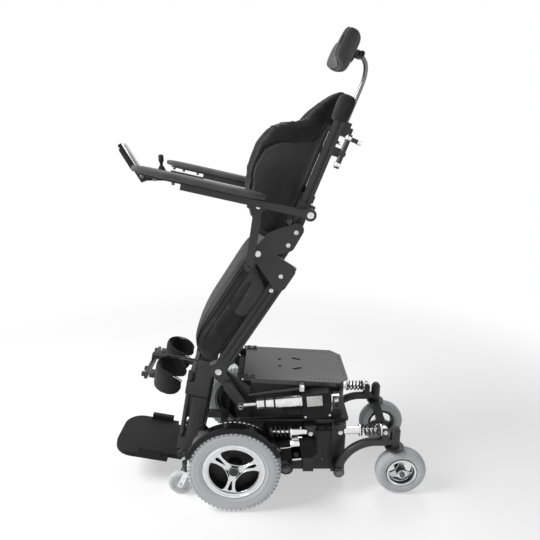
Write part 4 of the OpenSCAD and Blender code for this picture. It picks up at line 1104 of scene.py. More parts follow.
@dataclass
class ArmPad:
    """Armrest pad of skinned foam, a little fuller towards its rear.

    Attributes:
        rear: its rear end, forward of the armrest's pivot.
        length, width, depth: its sizes.
    """

    rear: float = 151.0
    length: float = 428.0
    width: float = 66.0
    depth: float = 24.6

    def section(self, t: float, steps: int = 32) -> list[Point]:
        """Points round the pad at a share of its length."""
        e = math.sqrt(max(0.0, 1 - abs(2 * t - 1) ** 8)) * 0.86 + 0.14
        full = 1.0 + 0.05 * math.exp(-((t - 0.35) / 0.12) ** 2)
        points = []
        for p, q in oval(self.width / 2 * e * full, self.depth / 2 * (0.4 + 0.6 * e), 3, steps):
            dish = 1.6 * math.exp(-(p / 16) ** 2) if q > 0 else 0.0
            points.append((-self.rear - t * self.length, p - 250.0, q + self.depth / 2 + 12.0 - dish * e))
        return points

    def build(self, side: Side) -> None:
        """Builds one pad, its base plate and the screws under it."""
        shares = [0.5 - 0.5 * math.cos(math.pi * k / 40) for k in range(41)]
        body = f"armrest_{side.tag}"
        place = side.frame(ARM)
        shape = Shape.loft(f"arm_pad_skin_{side.tag}", [self.section(t)
                                                        for t in shares]).subdivide(1).put(place)
        shape.done(Finish.FOAM_SKIN, body, [f"arm_pad_{side.tag}"], 60)
        outline = [(p * 0.5 * (self.length - 40) - self.rear - self.length / 2, q) for p, q in
                   [(math.copysign(min(1.0, abs(1.04 * math.cos(a))), math.cos(a)), 15 * math.sin(a)) for a in
                    [math.tau * k / 32 for k in range(32)]]]
        tray = Shape.slab(f"arm_tray_{side.tag}", outline, 0, 4).bevel(0.8)
        tray.shift(lambda v: (v.x, v.z - 250, v.y + 9.2)).outward().put(place).done(Finish.FRAME, body)
        screws = [Shape.rod("screw", 6, 9, 6).bevel(0.6).shift(lambda v, x=x: (v.x + x, v.y - 250, v.z - 1.5))
                  for x in (-545, -505, -445)]
        screws[0].join(screws[1:]).put(place)
        screws[0].obj.name = f"arm_screws_{side.tag}"
        screws[0].done(Finish.BOLT_DARK, body)


@dataclass
class KneeCup:
    """Padded knee cup: a wrapped panel with round corners, piping, a mount block and two knobs.

    Attributes:
        centre: place forward and up in the leg's frame.
        y: distance from the middle plane.
        radius: outer radius.
        wall: thickness of the padding.
        height: height of the panel.
        sweep: half of the angle that it wraps.
    """

    centre: tuple[float, float] = (-172.0, -83.0)
    y: float = 95.0
    radius: float = 72.0
    wall: float = 11.0
    height: float = 98.0
    sweep: float = 131.0

    def section(self, t: float, steps: int = 20) -> list[Point]:
        """Points round the padding at a share t from -1 to 1 of its sweep."""
        high = self.height / 2 * max(0.02, 1 - abs(t) ** 3.4) ** 0.42
        angle = math.pi + math.radians(self.sweep * t)
        mean = self.radius - self.wall / 2
        tip = max(0.15, 1 - abs(t) ** 14)
        rise = 7.0 * math.cos(angle)
        return [(self.centre[0] + (mean + p * tip) * math.cos(angle),
                 (mean + p * tip) * math.sin(angle) - self.y,
                 self.centre[1] + q - rise) for p, q in oval(self.wall / 2, high, 4, steps)]

    def build(self, side: Side) -> None:
        """Builds one cup."""
        body, place = f"knee_{side.tag}", side.frame(LEG)
        shares = [math.sin(math.pi / 2 * k / 30) for k in range(-30, 31)]
        shape = Shape.loft(f"knee_pad_{side.tag}", [self.section(t) for t in shares]).put(place)
        Stuffing(0.004, 0.003, 4.0, 3).swell(shape, lambda c: 1.0)
        shape.done(Finish.CUP_CLOTH, body, [f"knee_cup_{side.tag}"], 60)
        rims = []
        for k in range(-40, 41):
            t = math.sin(math.pi / 2 * k / 40) * 0.97
            rims.append(Vector(max(self.section(t), key=lambda p: p[2])))
        Shape.tube(f"knee_piping_{side.tag}", rims, 2.2).put(place).done(Finish.PIPING, body, angle=60)
        base = [(11.5, -14), (11.5, 14), (8, 17), (-8, 17), (-11.5, 14), (-11.5, -14), (-8, -17), (8, -17)]
        block = Shape.slab(f"knee_mount_{side.tag}", base, 0, 22).bevel(1.6)
        block.shift(lambda v: (v.y + self.centre[0] - self.radius - 9.5, v.z - self.y,
                               v.x + self.centre[1] - 4)).outward()
        block.put(place).done(Finish.FRAME, body)
        for k, dy in enumerate((-10, 34)):
            knob = Shape.rod(f"knee_knob_{side.tag}{k}", 11, 17, 24, 9.5).inset(upward, 3, -1.6)
            knob.inset(lambda c, n: abs(n.z) < 0.5, 0.6, -0.9, True).bevel(0.6)
            knob.put(within(place, self.centre[0] - self.radius - 33, dy - self.y, self.centre[1] - 6, -90))
            knob.done(Finish.GRIP, body)


@dataclass
class Spring:
    """Coil spring of a shock.

    Attributes:
        start, end: the shock's eyes, X and Z.
        kind: front or rear.
        travel: how far it shortens in millimetres; not used.
    """

    start: tuple[float, float]
    end: tuple[float, float]
    kind: str
    travel: float
    coil: float = 19.3
    wire: float = 3.0
    turns: float = 6.0

    def build(self, side: Side) -> None:
        """Builds the coil between its two seats."""
        frame_here = side.frame(along(self.start, self.end, -168.0))
        reach = math.dist(self.start, self.end)
        z0, z1 = 78.6 + self.wire, reach - 18.6 - self.wire
        count = int(self.turns * 24)
        path = []
        for i in range(count + 1):
            t = i / count
            lift = z0 + (z1 - z0) * min(1.0, max(0.0, (t * self.turns - 0.75) / (self.turns - 1.5)))
            a = math.tau * self.turns * t
            path.append((self.coil * math.cos(a), self.coil * math.sin(a), lift))
        shape = Shape.tube(f"{self.kind}_coil_{side.tag}", path, self.wire, 3, False).put(frame_here)
        made = shape.done(Finish.WIRE_BLACK, f"{self.kind}_shock_{side.tag}",
                          [f"{self.kind}_spring_{side.tag}"], 70)
        axis = frame_here.to_3x3().normalized() @ Vector((0, 0, 1))
        tuple(frame_here @ Vector((0, 0, 78.2)))
        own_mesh(made)


@dataclass
class Tyre:
    """Drive tyre: rounded casing with two rows of shoulder lugs and a row of blocks between.

    Attributes:
        outer: radius over the lugs.
        width: width of the casing; not used.
        lugs: lugs in a row.
    """

    outer: float = 177.6
    width: float = 74.0
    lugs: int = 60

    def casing(self, name: str) -> Shape:
        """The turned casing with a rib on each side."""
        half = [(105.0, 21.0), (111, 23.3), (117.6, 24.2), (118.2, 30.2), (122, 32.4), (127, 33.6),
                (128.5, 35.0), (131, 35.2),
                (132.5, 34.8), (142, 36.6), (152, 36.9), (160, 35.4), (166, 32.0), (170.5, 26.5),
                (173.2, 18.0), (174.0, 8.0)]
        profile = half + [(r, -z) for r, z in reversed(half)]
        return Shape.lathe(name, profile, 120)

    def lug(self, angle: float, z: float) -> Shape:
        """One lug at an angle; z is 1 or -1 for a shoulder and 0 for the middle row."""
        if z:
            piece = Shape.block("lug", (161, -5.2, 11), (self.outer, 5.2, 36.2))
            piece.shift(lambda v: (v.x - (6.5 if v.z > 20 and v.x > 170 else 0),
                                   v.y * (0.82 if v.x > 170 else 1.0)
                                   + (v.z - 20) * 0.1, v.z * z))
        else:
            piece = Shape.block("lug", (170, -4.6, -8), (self.outer, 4.6, 8))
            piece.shift(lambda v: (v.x, v.y * (0.84 if v.x > 174 else 1.0), v.z))
        piece.outward()
        return piece.put(Matrix.Rotation(angle, 4, "Z"))

    def build(self, side: Side) -> None:
        """Builds one tyre on its wheel."""
        casing = self.casing(f"drive_tread_{side.tag}")
        step = math.tau / self.lugs
        lugs = [self.lug(step * (i + z / 4), z) for i in range(self.lugs) for z in (-1, 0, 1)]
        casing.join(lugs).put(side.frame(within(WORLD, -114, -247.5, 178, 90, "X")))
        casing.done(Finish.TYRE, f"drive_wheel_{side.tag}", [f"drive_tyre_{side.tag}"], 40)


@dataclass
class WheelTrim:
    """Hub caps, spoke lips and axle nuts of the wheels."""

    def lip(self, name: str, outline: Sequence[tuple[float, float]], z: float, r: float) -> Shape:
        """A bright raised lip that follows an outline on the wheel's face."""
        loop = [(x, y, z) for x, y in outline]
        return Shape.tube(name, [*loop, loop[0], loop[1]], r, 3)

    def drive(self, side: Side) -> None:
        """Trim of one drive wheel: spoke lips, rim bead, hub cap, valve and a black web behind the spokes,
        which is partly a real rim web and partly painted shade.
        """
        body = f"drive_wheel_{side.tag}"
        place = side.frame(within(WORLD, -114, -247.5, 178, 90, "X"))
        lips = []
        for i in range(3):
            turn = Matrix.Rotation(math.radians(18 + 120 * i), 4, "Z")
            half = [(40.2, 1.6), (50, 3.9), (60, 5.9), (70, 7.8), (78, 9.3), (84, 8.8), (88.4, 5)]
            drop = [*half, (89.8, 0), *((x, -y) for x, y in half[::-1])]
            lips.append(self.lip("lip", drop, 26.2, 1.5).put(turn))
            window = [(31, 13.4), (48, 12.9), (66, 14.9), (80, 19.4), (88, 24.8)]
            bend = [(95.8 * math.cos(math.radians(a)), 95.8 * math.sin(math.radians(a)))
                    for a in range(20, 101, 8)]
            back = [(x * math.cos(math.radians(120)) + y * math.sin(math.radians(120)),
                     x * math.sin(math.radians(120)) - y * math.cos(math.radians(120)))
                     for x, y in window[::-1]]
            lips.append(self.lip("lip", window + bend + back, 26.2, 1.7).put(turn))
        lips[0].join(lips[1:]).put(place)
        lips[0].obj.name = f"spoke_lips_{side.tag}"
        lips[0].done(Finish.ALLOY, body, angle=60)
        bead = Shape.lathe(f"rim_bead_{side.tag}", [(108, 27.5), (109, 31), (113, 32), (116.4, 30.5),
                                                    (116.4, 28)], 96)
        bead.put(place).done(Finish.ALLOY, body, angle=50)
        cap = Shape.lathe(f"hub_cap_{side.tag}", [(0.0, 34.0), (10, 33.6), (15.5, 32.4), (18.5, 30.4),
                                                  (20.5, 26), (20.5, 22),
                                                  (0.0, 22)], 40, False)
        cap.put(place).done(Finish.SHELL, body, angle=40)
        # Black web behind the spokes: a split rim's inner web, made black and wide so that it also paints the
        # shade seen through the spoke windows.
        web = Shape.lathe(f"rim_web_shade_{side.tag}", [(19, -15), (96, -13), (103, -15), (103, -19), (96, -17),
                                                  (19, -19)], 72)
        web.put(place).done(Finish.SHELL, body, angle=40)
        stem = Shape.tube(f"valve_{side.tag}", [(88, 6, 4), (86, 8, 12), (84, 9, 22)], 3.0)
        stem.put(place).done(Finish.GRIP, body)

    def caster(self, side: Side) -> None:
        """Rim lip, hub cap and axle nuts of one rear caster."""
        body = f"caster_wheel_{side.tag}"
        place = side.frame(within(WORLD, 542, -168, 100, 90, "X"))
        lip = Shape.lathe(f"caster_lip_{side.tag}", [(51.5, 19), (52, 22.4), (55, 23.4), (58.4, 22.2),
                                                     (59, 19)], 72)
        lip.put(place).done(Finish.ALLOY, body, angle=50)
        lips = []
        for i in range(3):
            arc = [(48 * math.cos(math.radians(a)), 48 * math.sin(math.radians(a)))
                   for a in range(-48, 49, 12)]
            window = arc + [(22, 18), (20, 10), (20, -10), (22, -18)]
            turn = Matrix.Rotation(math.radians(30 + 120 * i), 4, "Z")
            lips.append(self.lip("lip", window, 6.4, 1.8).put(turn))
        lips[0].join(lips[1:]).put(place)
        lips[0].obj.name = f"caster_window_lips_{side.tag}"
        lips[0].done(Finish.ALLOY, body, angle=60)
        for k, (out, z) in enumerate(((1, 29.0), (-1, 37.1))):
            nut = Shape.rod(f"caster_nut_{side.tag}{k}", 11, 7, 6).bevel(1.0)
            turn = Matrix.Rotation(0 if out > 0 else math.pi, 4, "X")
            nut.put(place @ turn @ Matrix.Translation((0, 0, z)))
            nut.done(Finish.BOLT_DARK, f"rear_fork_{side.tag}")
        cap = Shape.rod(f"kingpin_cap_{side.tag}", 17.5, 9, 32, 11, 287.0).bevel(2.0)
        cap.put(side.frame(within(WORLD, 510, -168, 0))).done(Finish.SHELL, f"rear_arm_{side.tag}")

    def tip(self, side: Side) -> None:
        """Axle nuts and swivel cap of one anti-tip caster."""
        place = side.frame(within(WORLD, -334, -180, 52, 90, "X"))
        nuts = []
        for out in (1, -1):
            nut = Shape.rod("nut", 7.5, 5, 6).bevel(0.7)
            turn = Matrix.Rotation(0 if out > 0 else math.pi, 4, "X")
            nuts.append(nut.put(turn @ Matrix.Translation((0, 0, 21.6))))
        nuts[0].join(nuts[1:]).put(place)
        nuts[0].obj.name = f"tip_nuts_{side.tag}"
        nuts[0].done(Finish.CHROME, f"tip_fork_{side.tag}")
        race = Shape.lathe(f"tip_race_{side.tag}", [(19.0, 107.6), (21.5, 108.4), (22.0, 110.4),
                                                    (20.5, 112.2), (18.0, 112.4)], 40)
        race.put(side.frame(within(WORLD, -312, -180, 0))).done(Finish.CHROME, f"tip_fork_{side.tag}")

    def build(self, side: Side) -> None:
        """Builds the trim of one side."""
        self.drive(side)
        self.caster(side)
        self.tip(side)


@dataclass(frozen=True)
class Bolts:
    """Socket-head bolts on the outer faces of one side.

    Attributes:
        spots: body, finish, X, Y out from the middle, Z, head radius and head height.
    """

    spots: tuple = (
        ("seat", Finish.CHROME, -174, 155.2, 525, 12.5, 6),
        ("seat", Finish.CHROME, -90.1, 192.6, 398.3, 8.5, 5),
        ("seat", Finish.CHROME, -19.97, 224.2, 1000.88, 11, 5),
        ("seat", Finish.CHROME, 25, 210.2, 867, 7.5, 5),
        ("seat", Finish.CHROME, 58, 210.2, 918, 7.5, 5), ("back", Finish.CHROME, 82, 220.2, 1029, 7.5, 5),
        ("back", Finish.CHROME, 108, 220.2, 1072, 7.5, 5), ("chassis", Finish.CHROME, 178, 186.2, 278, 9, 4),
        ("chassis", Finish.CHROME, 293, 186.2, 283, 9, 4),
        ("chassis", Finish.BOLT_DARK, 87, 144.2, 79, 17, 8),
        ("chassis", Finish.BOLT_DARK, 294, 188.2, 101, 19, 9))

    def head(self, r: float, h: float) -> Shape:
        """One bolt head with a washer and a six-sided socket."""
        head = Shape.rod("bolt", r * 0.8, h, 24, None, 1.2)
        head.inset(upward, r * 0.36, 0.0).inset(lambda c, n: n.z > 0.9 and c.length < r + h, 0.05, -h * 0.6)
        washer = Shape.rod("washer", r, 1.4, 28)
        return head.bevel(r * 0.08, 2).join([washer.bevel(0.3)])

    def build(self, side: Side) -> None:
        """Builds one side's bolts."""
        for k, (body, finish, x, y, z, r, h) in enumerate(self.spots):
            head = self.head(r, h)
            head.obj.name = f"bolt_{side.tag}{k}"
            head.put(side.frame(within(WORLD, x, -y, z, 90, "X"))).done(finish, body)
        for name, rider, x, z in (("front", "drive_arm", 1, 274), ("rear", "rear_arm", 467, 283)):
            head = self.head(9, 4)
            head.obj.name = f"{name}_eye_bolt_{side.tag}"
            head.put(side.frame(within(WORLD, x, -186.2, z, 90, "X"))).done(Finish.CHROME,
                    f"{rider}_{side.tag}")
        head = self.head(11, 5)
        head.obj.name = f"arm_pivot_bolt_{side.tag}"
        head.put(side.frame(within(BACK, 108, -264.2, 188, 90, "X"))).done(Finish.CHROME, "back")
        head = self.head(9, 5)
        head.obj.name = f"strut_bolt_{side.tag}"
        head.put(side.frame(within(BACK, -56, -247.2, 150, 90, "X"))).done(Finish.CHROME,
                f"armrest_{side.tag}")


@dataclass
class FrameTrim:
    """Small trim of one side: post hood, push-bar collars, ledge lip, hinge, screws and sleeve rims.

    Attributes:
        post: post of the back, rearwards and sideways from the hip.
        base_screws: X and Z of the screws on the base's side wall.
        sleeves: heights of the sleeve rims on the leg post.
    """

    post: tuple[float, float] = (87.0, 180.0)
    base_screws: tuple = ((312, 108), (312, 292), (236, 108), (150, 292))
    sleeves: tuple = (-140, -392)

    def back(self, side: Side) -> None:
        """Hood over the post's end and the collars of the push bar."""
        m, y = self.post
        sizes = ((490, 0.72), (492, 0.84), (500, 0.9), (525, 0.97), (545, 1.0), (558, 0.95), (566, 0.82),
                 (571, 0.58), (573, 0.25))
        rings = [[(m - 3 + p, q - y, w) for p, q in oval(29 * e, 25 * e, 3.0, 32)] for w, e in sizes]
        hood = Shape.loft(f"post_hood_{side.tag}", rings)
        hood.put(side.frame(BACK)).done(Finish.BACK_CLOTH, "back", angle=60)
        for k, w in enumerate((358, 446)):
            collar = Shape.rod(f"push_collar_{side.tag}{k}", 11.5, 12, 32, None, w).bevel(1.5)
            collar.put(side.frame(within(BACK, 132, -204, 0))).done(Finish.ALLOY, "back")
        tip = Shape.rod(f"push_tip_{side.tag}", 9.4, 14, 28, 8.6, 30).bevel(1.4)
        tip.put(side.frame(within(BACK, 132, -204, 452, 90))).done(Finish.ALLOY, "back")

    def base(self, side: Side) -> None:
        """Ledge lip, slotted bracket, screws and the top plate's hinge."""
        lip = Shape.block(f"ledge_lip_{side.tag}", (-98, -149.6, 317.6), (318, -145.0, 320.4)).bevel(1.0, 2)
        lip.put(side.frame(WORLD)).done(Finish.MOTOR, "chassis")
        bracket = Shape.block(f"slot_bracket_{side.tag}", (206, -117.6, 242),
                              (288, -111.6, 272)).bevel(2.0, 2)
        bracket.put(side.frame(WORLD)).done(Finish.MOTOR, "chassis")
        slots = [Shape.block("slot", (x, -118.4, 251), (x + 26, -117.2, 263)).bevel(4.0, 3, 60)
                 for x in (214, 252)]
        slots[0].join(slots[1:]).put(side.frame(WORLD))
        slots[0].obj.name = f"bracket_slots_{side.tag}"
        slots[0].done(Finish.GRIP, "chassis")
        for k, (x, z) in enumerate(self.base_screws):
            screw = Shape.rod(f"base_screw_{side.tag}{k}", 4.6, 2.4, 20).inset(upward, 1.8, -1.0)
            screw.put(side.frame(within(WORLD, x, -111.8, z, 90, "X"))).done(Finish.BOLT_DARK, "chassis")
        hinge = Shape.block(f"plate_hinge_{side.tag}", (-92, -142, 479), (-52, -124, 496)).bevel(2.5, 3)
        hinge.put(side.frame(WORLD)).done(Finish.FRAME, "chassis")
        pin = Shape.rod(f"hinge_pin_{side.tag}", 3.4, 26, 20, None, 121).bevel(0.6)
        pin.put(side.frame(within(WORLD, -84, 0, 490, 90, "X"))).done(Finish.CHROME, "chassis")

    def leg(self, side: Side) -> None:
        """Rims of the sleeves on one leg post."""
        for k, z in enumerate(self.sleeves):
            rim = Shape.block(f"leg_sleeve_{side.tag}{k}", (-86.4, -126.2, z),
                              (-17.6, -89.8, z + 5)).bevel(2.0, 2)
            rim.put(side.frame(LEG)).done(Finish.MOTOR, "legs")

    def build(self, side: Side) -> None:
        """Builds one side's trim."""
        self.back(side)
        self.base(side)
        self.leg(side)


@dataclass
class Controls:
    """Display, keys and joystick of the control box."""

    lean: float = 30.0

    def display(self) -> None:
        """Bezel, cover glass and hood of the display."""
        place = within(CONTROL, -106, 0, -30, -self.lean)
        bezel = Shape.block("display_bezel", (-1, -31.5, 62), (2.6, 31.5, 170)).bevel(2.0, 3)
        bezel.put(place).done(Finish.ALLOY, "armrest_r")
        glass = Shape.block("display_glass", (1.2, -27, 67), (3.2, 27, 165)).bevel(0.8, 2)
        glass.put(place).done(Finish.GLASS, "armrest_r")
        back = Shape.block("display_back", (-24, -27, 56), (-16.5, 27, 158))
        back.inset(lambda c, n: n.x < -0.9, 7.0, 3.0)
        back.bevel(2.5, 3).put(place).done(Finish.CASE, "armrest_r")
        ribs = [Shape.block("rib", (-28.2, -19, 70 + 12 * k), (-26, 19, 75 + 12 * k)).bevel(0.7)
                for k in range(6)]
        ribs[0].join(ribs[1:]).put(place)
        ribs[0].obj.name = "display_ribs"
        ribs[0].done(Finish.CASE, "armrest_r")

    def keys(self) -> None:
        """Collar round the stick and a row of keys."""
        collar = Shape.lathe("stick_collar", [(25.2, 0.2), (25.2, 3.4), (28.5, 4.4), (33.5, 3.0),
                                              (34.5, 0.2)], 56)
        collar.put(within(CONTROL, -40, 0, 0)).done(Finish.CASE, "armrest_r", angle=50)
        made = []
        for k in range(2):
            for y in (-22, 22):
                key = Shape.rod("key", 6.5, 3.6, 24, 5.6).inset(upward, 1.2, -0.5)
                made.append(key.bevel(0.4).put(Matrix.Translation((16 * k - 16, y, 0))))
        made[0].join(made[1:]).put(CONTROL)
        made[0].obj.name = "control_keys"
        made[0].done(Finish.GRIP, "armrest_r")

    def stick(self) -> None:
        """Bellows, stem and ribbed knob, which move with the lever."""
        profile = [(20.5, 6.0), (21.5, 8.5), (17.0, 11.0), (19.0, 13.5), (14.5, 16.0), (16.5, 18.5),
                   (12.0, 21.0), (14.0, 23.5),
                   (9.5, 26.0), (10.8, 28.5), (7.0, 31.0), (6.4, 40.0), (8.2, 46.0), (10.6, 50.0),
                   (11.2, 56.0), (10.8, 63.0),
                   (11.2, 69.0), (9.4, 74.0), (5.0, 76.4), (0.0, 77.0), (0.0, 6.0)]
        stick = Shape.lathe("joystick_boot", profile, 40, False)
        stick.put(within(CONTROL, -40, 0, -2)).done(Finish.GRIP, "joystick_lever", ["joystick_lever"], 28)

    def build(self) -> None:
        """Builds the controls."""
        self.display()
        self.keys()
        self.stick()


@dataclass
class Actuator:
    """Stand actuator: bright tube, black motor case with a blank label, clamp and leads."""

    def build(self) -> None:
        """Builds the case, the trim and the leads."""
        case = Shape.block("actuator_case", (-30.4, -20.4, 232.2), (74.4, 35.4, 341.8)).bevel(9.0, 4)
        case.inset(lambda c, n: n.y < -0.95 and abs(c.z - 287) < 60, 4.0, -1.0)
        case.put(ACTUATOR).done(Finish.CASE, "actuator_body", ["actuator_body"])
        motor = Shape.lathe("actuator_motor", [(0, 162), (16, 162), (19.5, 164), (21, 169), (21, 233),
                                               (0, 233)], 40, False)
        motor.put(within(ACTUATOR, 40, 7.5, 0)).done(Finish.CASE, "actuator_body", angle=40)
        label = Shape.block("actuator_label", (-25, -21.9, 251), (17, -20.6, 309)).bevel(0.4, 2)
        label.put(ACTUATOR).done(Finish.LABEL, "actuator_body")
        tube = Shape.lathe("actuator_tube", [(9.6, 62.2), (14, 61.4), (22.0, 61.8), (24.0, 63), (24.0, 67.6),
                                             (22.0, 69), (22.0, 224),
                                             (23.6, 225.5), (23.6, 233), (9.6, 233)], 56)
        tube.put(ACTUATOR).done(Finish.ALLOY, "actuator_body", angle=30)
        seal = Shape.lathe("actuator_seal", [(9.4, 58), (12, 58), (15.5, 59.5), (15.5, 62.5),
                                             (9.4, 62.5)], 40)
        seal.put(ACTUATOR).done(Finish.GRIP, "actuator_body", angle=40)
        lug = Shape.block("actuator_lug", (-14, -12, 341.5), (14, 12, 376.6)).bevel(4.0, 3)
        lug.put(ACTUATOR).done(Finish.ALLOY, "actuator_body")
        pin = Shape.rod("actuator_tail_pin", 6, 44, 32, None, -22).bevel(0.9)
        pin.put(within(ACTUATOR, 0, 0, 363.68, 90, "X")).done(Finish.CHROME, "actuator_body")
        for k, z in enumerate((241, 333)):
            screw = Shape.rod(f"case_screw_{k}", 4.2, 2.0, 16).inset(upward, 1.6, -1.0)
            screw.put(within(ACTUATOR, 60, -20.2, z, 90, "X")).done(Finish.CHROME, "actuator_body")
        lead = [(22, 0, 71), (24.4, 0, 78), (24.6, 0, 100), (24.6, 0, 130), (24.8, 2, 148), (30, 6, 156),
                (40, 7.5, 163)]
        Shape.tube("actuator_lead", lead, 2.6).put(ACTUATOR).done(Finish.GRIP, "actuator_body", angle=60)
        for k, z in enumerate((90, 126)):
            clip = Shape.lathe(f"lead_clip_{k}", [(21.9, z), (22.6, z), (22.6, z + 7), (21.9, z + 7)], 48)
            clip.shift(lambda v: (v.x * (1.24 if v.x > 19 else 1.0), v.y, v.z))
            clip.put(ACTUATOR).done(Finish.GRIP, "actuator_body", angle=40)
        tail = [(14.4, -6, 372), (16, -6, 362), (16, -6, 350), (18, -7, 343.8), (34, -8, 343.6),
                (50, -7, 343), (56, -6, 339)]
        run = Shape.tube("actuator_tail_lead", tail, 1.8)
        run.put(ACTUATOR).done(Finish.CHROME, "actuator_body", angle=60)
        bar = Shape.tube("guide_rod", [(-58, -186, 446), (13, -186, 458), (140, -186, 474)], 4.2, 4, False)
        clamp = Shape.block("clamp", (-9, -8, -10), (9, 8, 10)).bevel(2.0, 2)
        clamp.put(Matrix.Translation((140, -186, 475)))
        arm = Shape.block("arm", (132, -186, 466), (150, -118, 478)).bevel(1.5)
        bar.join([arm]).put(WORLD).done(Finish.FRAME, "chassis")
        clamp.put(WORLD)
        clamp.obj.name = "guide_clamp"
        clamp.done(Finish.CHROME, "chassis")


@dataclass
class DriveUnit:
    """Trim of one gear motor.

    Attributes:
        axis: frame along the motor from the drive axle.
    """

    axis: Matrix = along((-114.0, 178.0), (-114.0 + math.cos(math.radians(7)),
                                           178.0 + math.sin(math.radians(7))), -171.0)

    def build(self, side: Side) -> None:
        """Builds the brake band, its release lever and the lead."""
        body, place = f"drive_arm_{side.tag}", side.frame(self.axis)
        flat = lambda v: (v.x, max(-33.0, min(33.0, v.y)), v.z)
        rim = [(44.0, 220), (47.6, 219.4), (48.4, 220.4), (48.4, 253.6), (47.6, 254.6), (44.0, 254)]
        run = Shape.lathe(f"brake_band_{side.tag}", rim, 64)
        run.shift(flat).put(place).done(Finish.ALLOY, body, angle=40)
        dial = Shape.rod(f"brake_dial_{side.tag}", 11, 5, 28, 9.5).inset(upward, 3.0, -2.0)
        dial.bevel(0.8).put(within(place, 8, -32.6, 237, 90, "X")).done(Finish.GRIP, body)
        lever = Shape.tube(f"brake_lever_{side.tag}", [(-45, -6, 240), (-52, -10, 250), (-52, -18, 268)], 3.4)
        lever.put(place).done(Finish.CHROME, body, angle=60)
        lead = [(-30, -32.6, 226), (-29, -36.2, 218), (-29, -36.6, 200), (-29, -36.6, 176),
                (-29, -36.2, 156), (-30, -33, 146)]
        Shape.tube(f"motor_lead_{side.tag}", lead, 2.4).put(place).done(Finish.CHROME, body, angle=60)
        cover = Shape.lathe(f"motor_cover_{side.tag}", [(0, 322.0), (20, 321.6), (29, 319.6), (36, 313),
                                                        (41, 306.5), (41, 302),
                                                      (0, 302)], 48, False).shift(flat)
        cover.put(place).done(Finish.MOTOR, body, angle=40)


@dataclass
class Studio:
    """Floor, light and camera.

    Attributes:
        lens: focal length in millimetres on a 36 mm sensor.
        eye: the camera's place in metres.
        pitch: the camera's turn about X in degrees.
    """

    lens: float = 29.87
    eye: Point = (0.021, -1.682, 1.352)
    pitch: float = 74.4

    def floor(self) -> None:
        """Pale floor that keeps the chair's shadow and shows white to the camera."""
        Shape.clear()
        bpy.ops.mesh.primitive_plane_add(size=40.0, location=(0, 0, -0.0005))
        piece = bpy.context.object
        piece.name = "floor"
        s = Shader("floor_white")
        mat = s.set(Base_Color=(0.9, 0.9, 0.9), Roughness=0.6)
        path = s.tree.nodes.new("ShaderNodeLightPath")
        seen = Wire(s, path.outputs["Is Camera Ray"]).top(Wire(s, path.outputs["Is Glossy Ray"]))
        glow = s.node("ShaderNodeEmission", {}, {"Color": (1, 1, 1, 1), "Strength": 1.0})
        x, y, _ = s.split(s.place())
        share = (x * x + y * y).step(0.9, 7.0) * 0.5 + 0.5
        mixed = s.node("ShaderNodeMixShader", {}, {0: seen * share, 1: Wire(s, s.surface.outputs[0]),
                                                   2: glow})
        s.feed(s.tree.nodes["Material Output"].inputs["Surface"], mixed)
        piece.data.materials.append(mat)

    def sky(self) -> None:
        """Soft white room light; white to the camera."""
        world = bpy.data.worlds.new("room")
        bpy.context.scene.world = world
        world.use_nodes = True
        tree = world.node_tree
        path = tree.nodes.new("ShaderNodeLightPath")
        strength = tree.nodes.new("ShaderNodeMapRange")
        seen = path.outputs["Is Camera Ray"]
        for ray in ("Is Glossy Ray", "Is Transmission Ray"):
            either = tree.nodes.new("ShaderNodeMath")
            either.operation = "MAXIMUM"
            tree.links.new(seen, either.inputs[0])
            tree.links.new(path.outputs[ray], either.inputs[1])
            seen = either.outputs[0]
        tree.links.new(seen, strength.inputs["Value"])
        strength.inputs["To Min"].default_value = 0.2
        strength.inputs["To Max"].default_value = 1.0
        ground = tree.nodes["Background"]
        ground.inputs["Color"].default_value = (1, 1, 1, 1)
        tree.links.new(strength.outputs[0], ground.inputs["Strength"])

    def lamp(self, name: str, place: Point, target: Point, size: float, watts: float) -> None:
        """One soft area lamp aimed at a point.

        Args:
            name: name of the lamp.
            place: where it hangs.
            target: where it points.
            size: side of its square.
            watts: its power.
        """
        data = bpy.data.lights.new(name, "AREA")
        data.size, data.energy = size, watts
        lamp = bpy.data.objects.new(name, data)
        lamp.location = place
        lamp.rotation_euler = (Vector(target) - Vector(place)).to_track_quat("-Z", "Y").to_euler()
        bpy.context.collection.objects.link(lamp)

    def camera(self) -> None:
        """Camera at the photograph's viewing angle."""
        data = bpy.data.cameras.new("camera")
        data.lens, data.sensor_width, data.clip_start = self.lens, 36.0, 0.05
        eye = bpy.data.objects.new("camera", data)
        eye.location, eye.rotation_euler = self.eye, (math.radians(self.pitch), 0, 0)
        bpy.context.collection.objects.link(eye)
        bpy.context.scene.camera = eye

    def build(self) -> None:
        """Sets up the stage."""
        bpy.context.scene.view_settings.view_transform = "Standard"
        self.floor()
        self.sky()
        self.lamp("key", (-2.4, -0.6, 2.8), (0.0, 0.0, 0.8), 1.5, 138.0)
        self.lamp("side", (1.9, -2.4, 1.4), (0.0, 0.0, 0.6), 1.6, 6.0)
        self.lamp("back", (0.7, 1.8, 3.0), (0.0, 0.0, 0.9), 1.6, 30.0)
        self.camera()


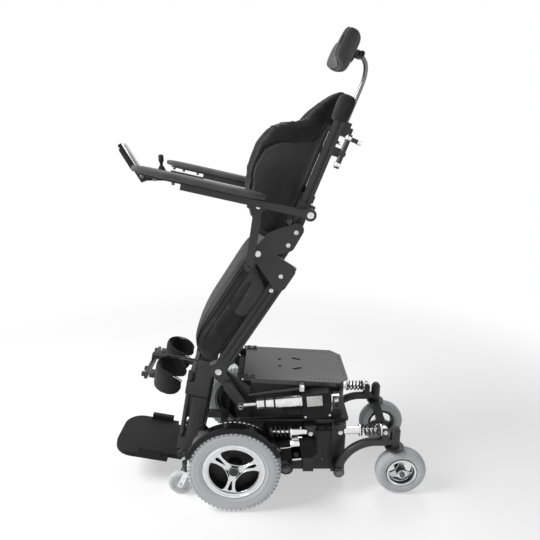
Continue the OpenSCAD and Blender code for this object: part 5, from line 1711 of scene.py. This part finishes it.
@dataclass(frozen=True)
class Metalwork:
    """Finishes of the nodes that are shown as they are."""

    finishes: tuple[tuple[Finish, tuple[str, ...]], ...] = (
        (Finish.FRAME, ("chassis_frame", "seat_frame", "back_frame", "leg_posts", "drive_arm_", "rear_arm_",
                        "rear_fork_",
                        "armrest_", "knee_arm_", "push_bar")),
        (Finish.SHELL, ("base_shell",)),
        (Finish.FOOT_MAT, ("footplate",)),
        (Finish.BATTERY, ("batteries",)),
        (Finish.PLATE, ("top_plate",)),
        (Finish.MOTOR, ("gear_motor_",)),
        (Finish.FENDER, ("fender_",)),
        (Finish.DRIVE_RIM, ("drive_rim_",)),
        (Finish.CASTER_RIM, ("caster_rim_",)),
        (Finish.TYRE, ("drive_tyre_", "caster_tyre_", "tip_wheel_")),
        (Finish.ALLOY, ("front_shock_", "rear_shock_", "actuator_rod", "tip_fork_")),
        (Finish.WIRE_BLACK, ("front_spring_", "rear_spring_")),
        (Finish.SEAT_CLOTH, ("seat_cushion",)),
        (Finish.BACK_CLOTH, ("back_cushion",)),
        (Finish.HEAD_CLOTH, ("headrest_pad",)),
        (Finish.FOAM_SKIN, ("arm_pad_",)),
        (Finish.CUP_CLOTH, ("knee_cup_",)),
        (Finish.CASE, ("control_box", "joystick_ring", "joystick_lever")),
        (Finish.STEEL, ("headrest_stem",)))

    def dress(self) -> None:
        """Gives each node its finish."""
        for name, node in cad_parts.items():
            for finish, starts in self.finishes:
                if name.startswith(starts):
                    node.data.materials.clear()
                    node.data.materials.append(finish.material)
                    break


def main() -> None:
    """Builds the sub-assemblies in order."""
    logging.basicConfig(level=logging.INFO, format="%(message)s")
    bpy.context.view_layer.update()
    Studio().build()
    Metalwork().dress()
    SeatCushion().build()
    BackShell().build()
    Headrest().build()
    for side in Side:
        ArmPad().build(side)
        KneeCup().build(side)
        Spring((178.0, 278.0), (1.0, 274.0), "front", 17.3).build(side)
        Spring((293.0, 283.0), (467.0, 283.0), "rear", 15.9).build(side)
        Tyre().build(side)
        WheelTrim().build(side)
        Bolts().build(side)
        FrameTrim().build(side)
        DriveUnit().build(side)
    Controls().build()
    Actuator().build()


if __name__ == "__main__":
    main()
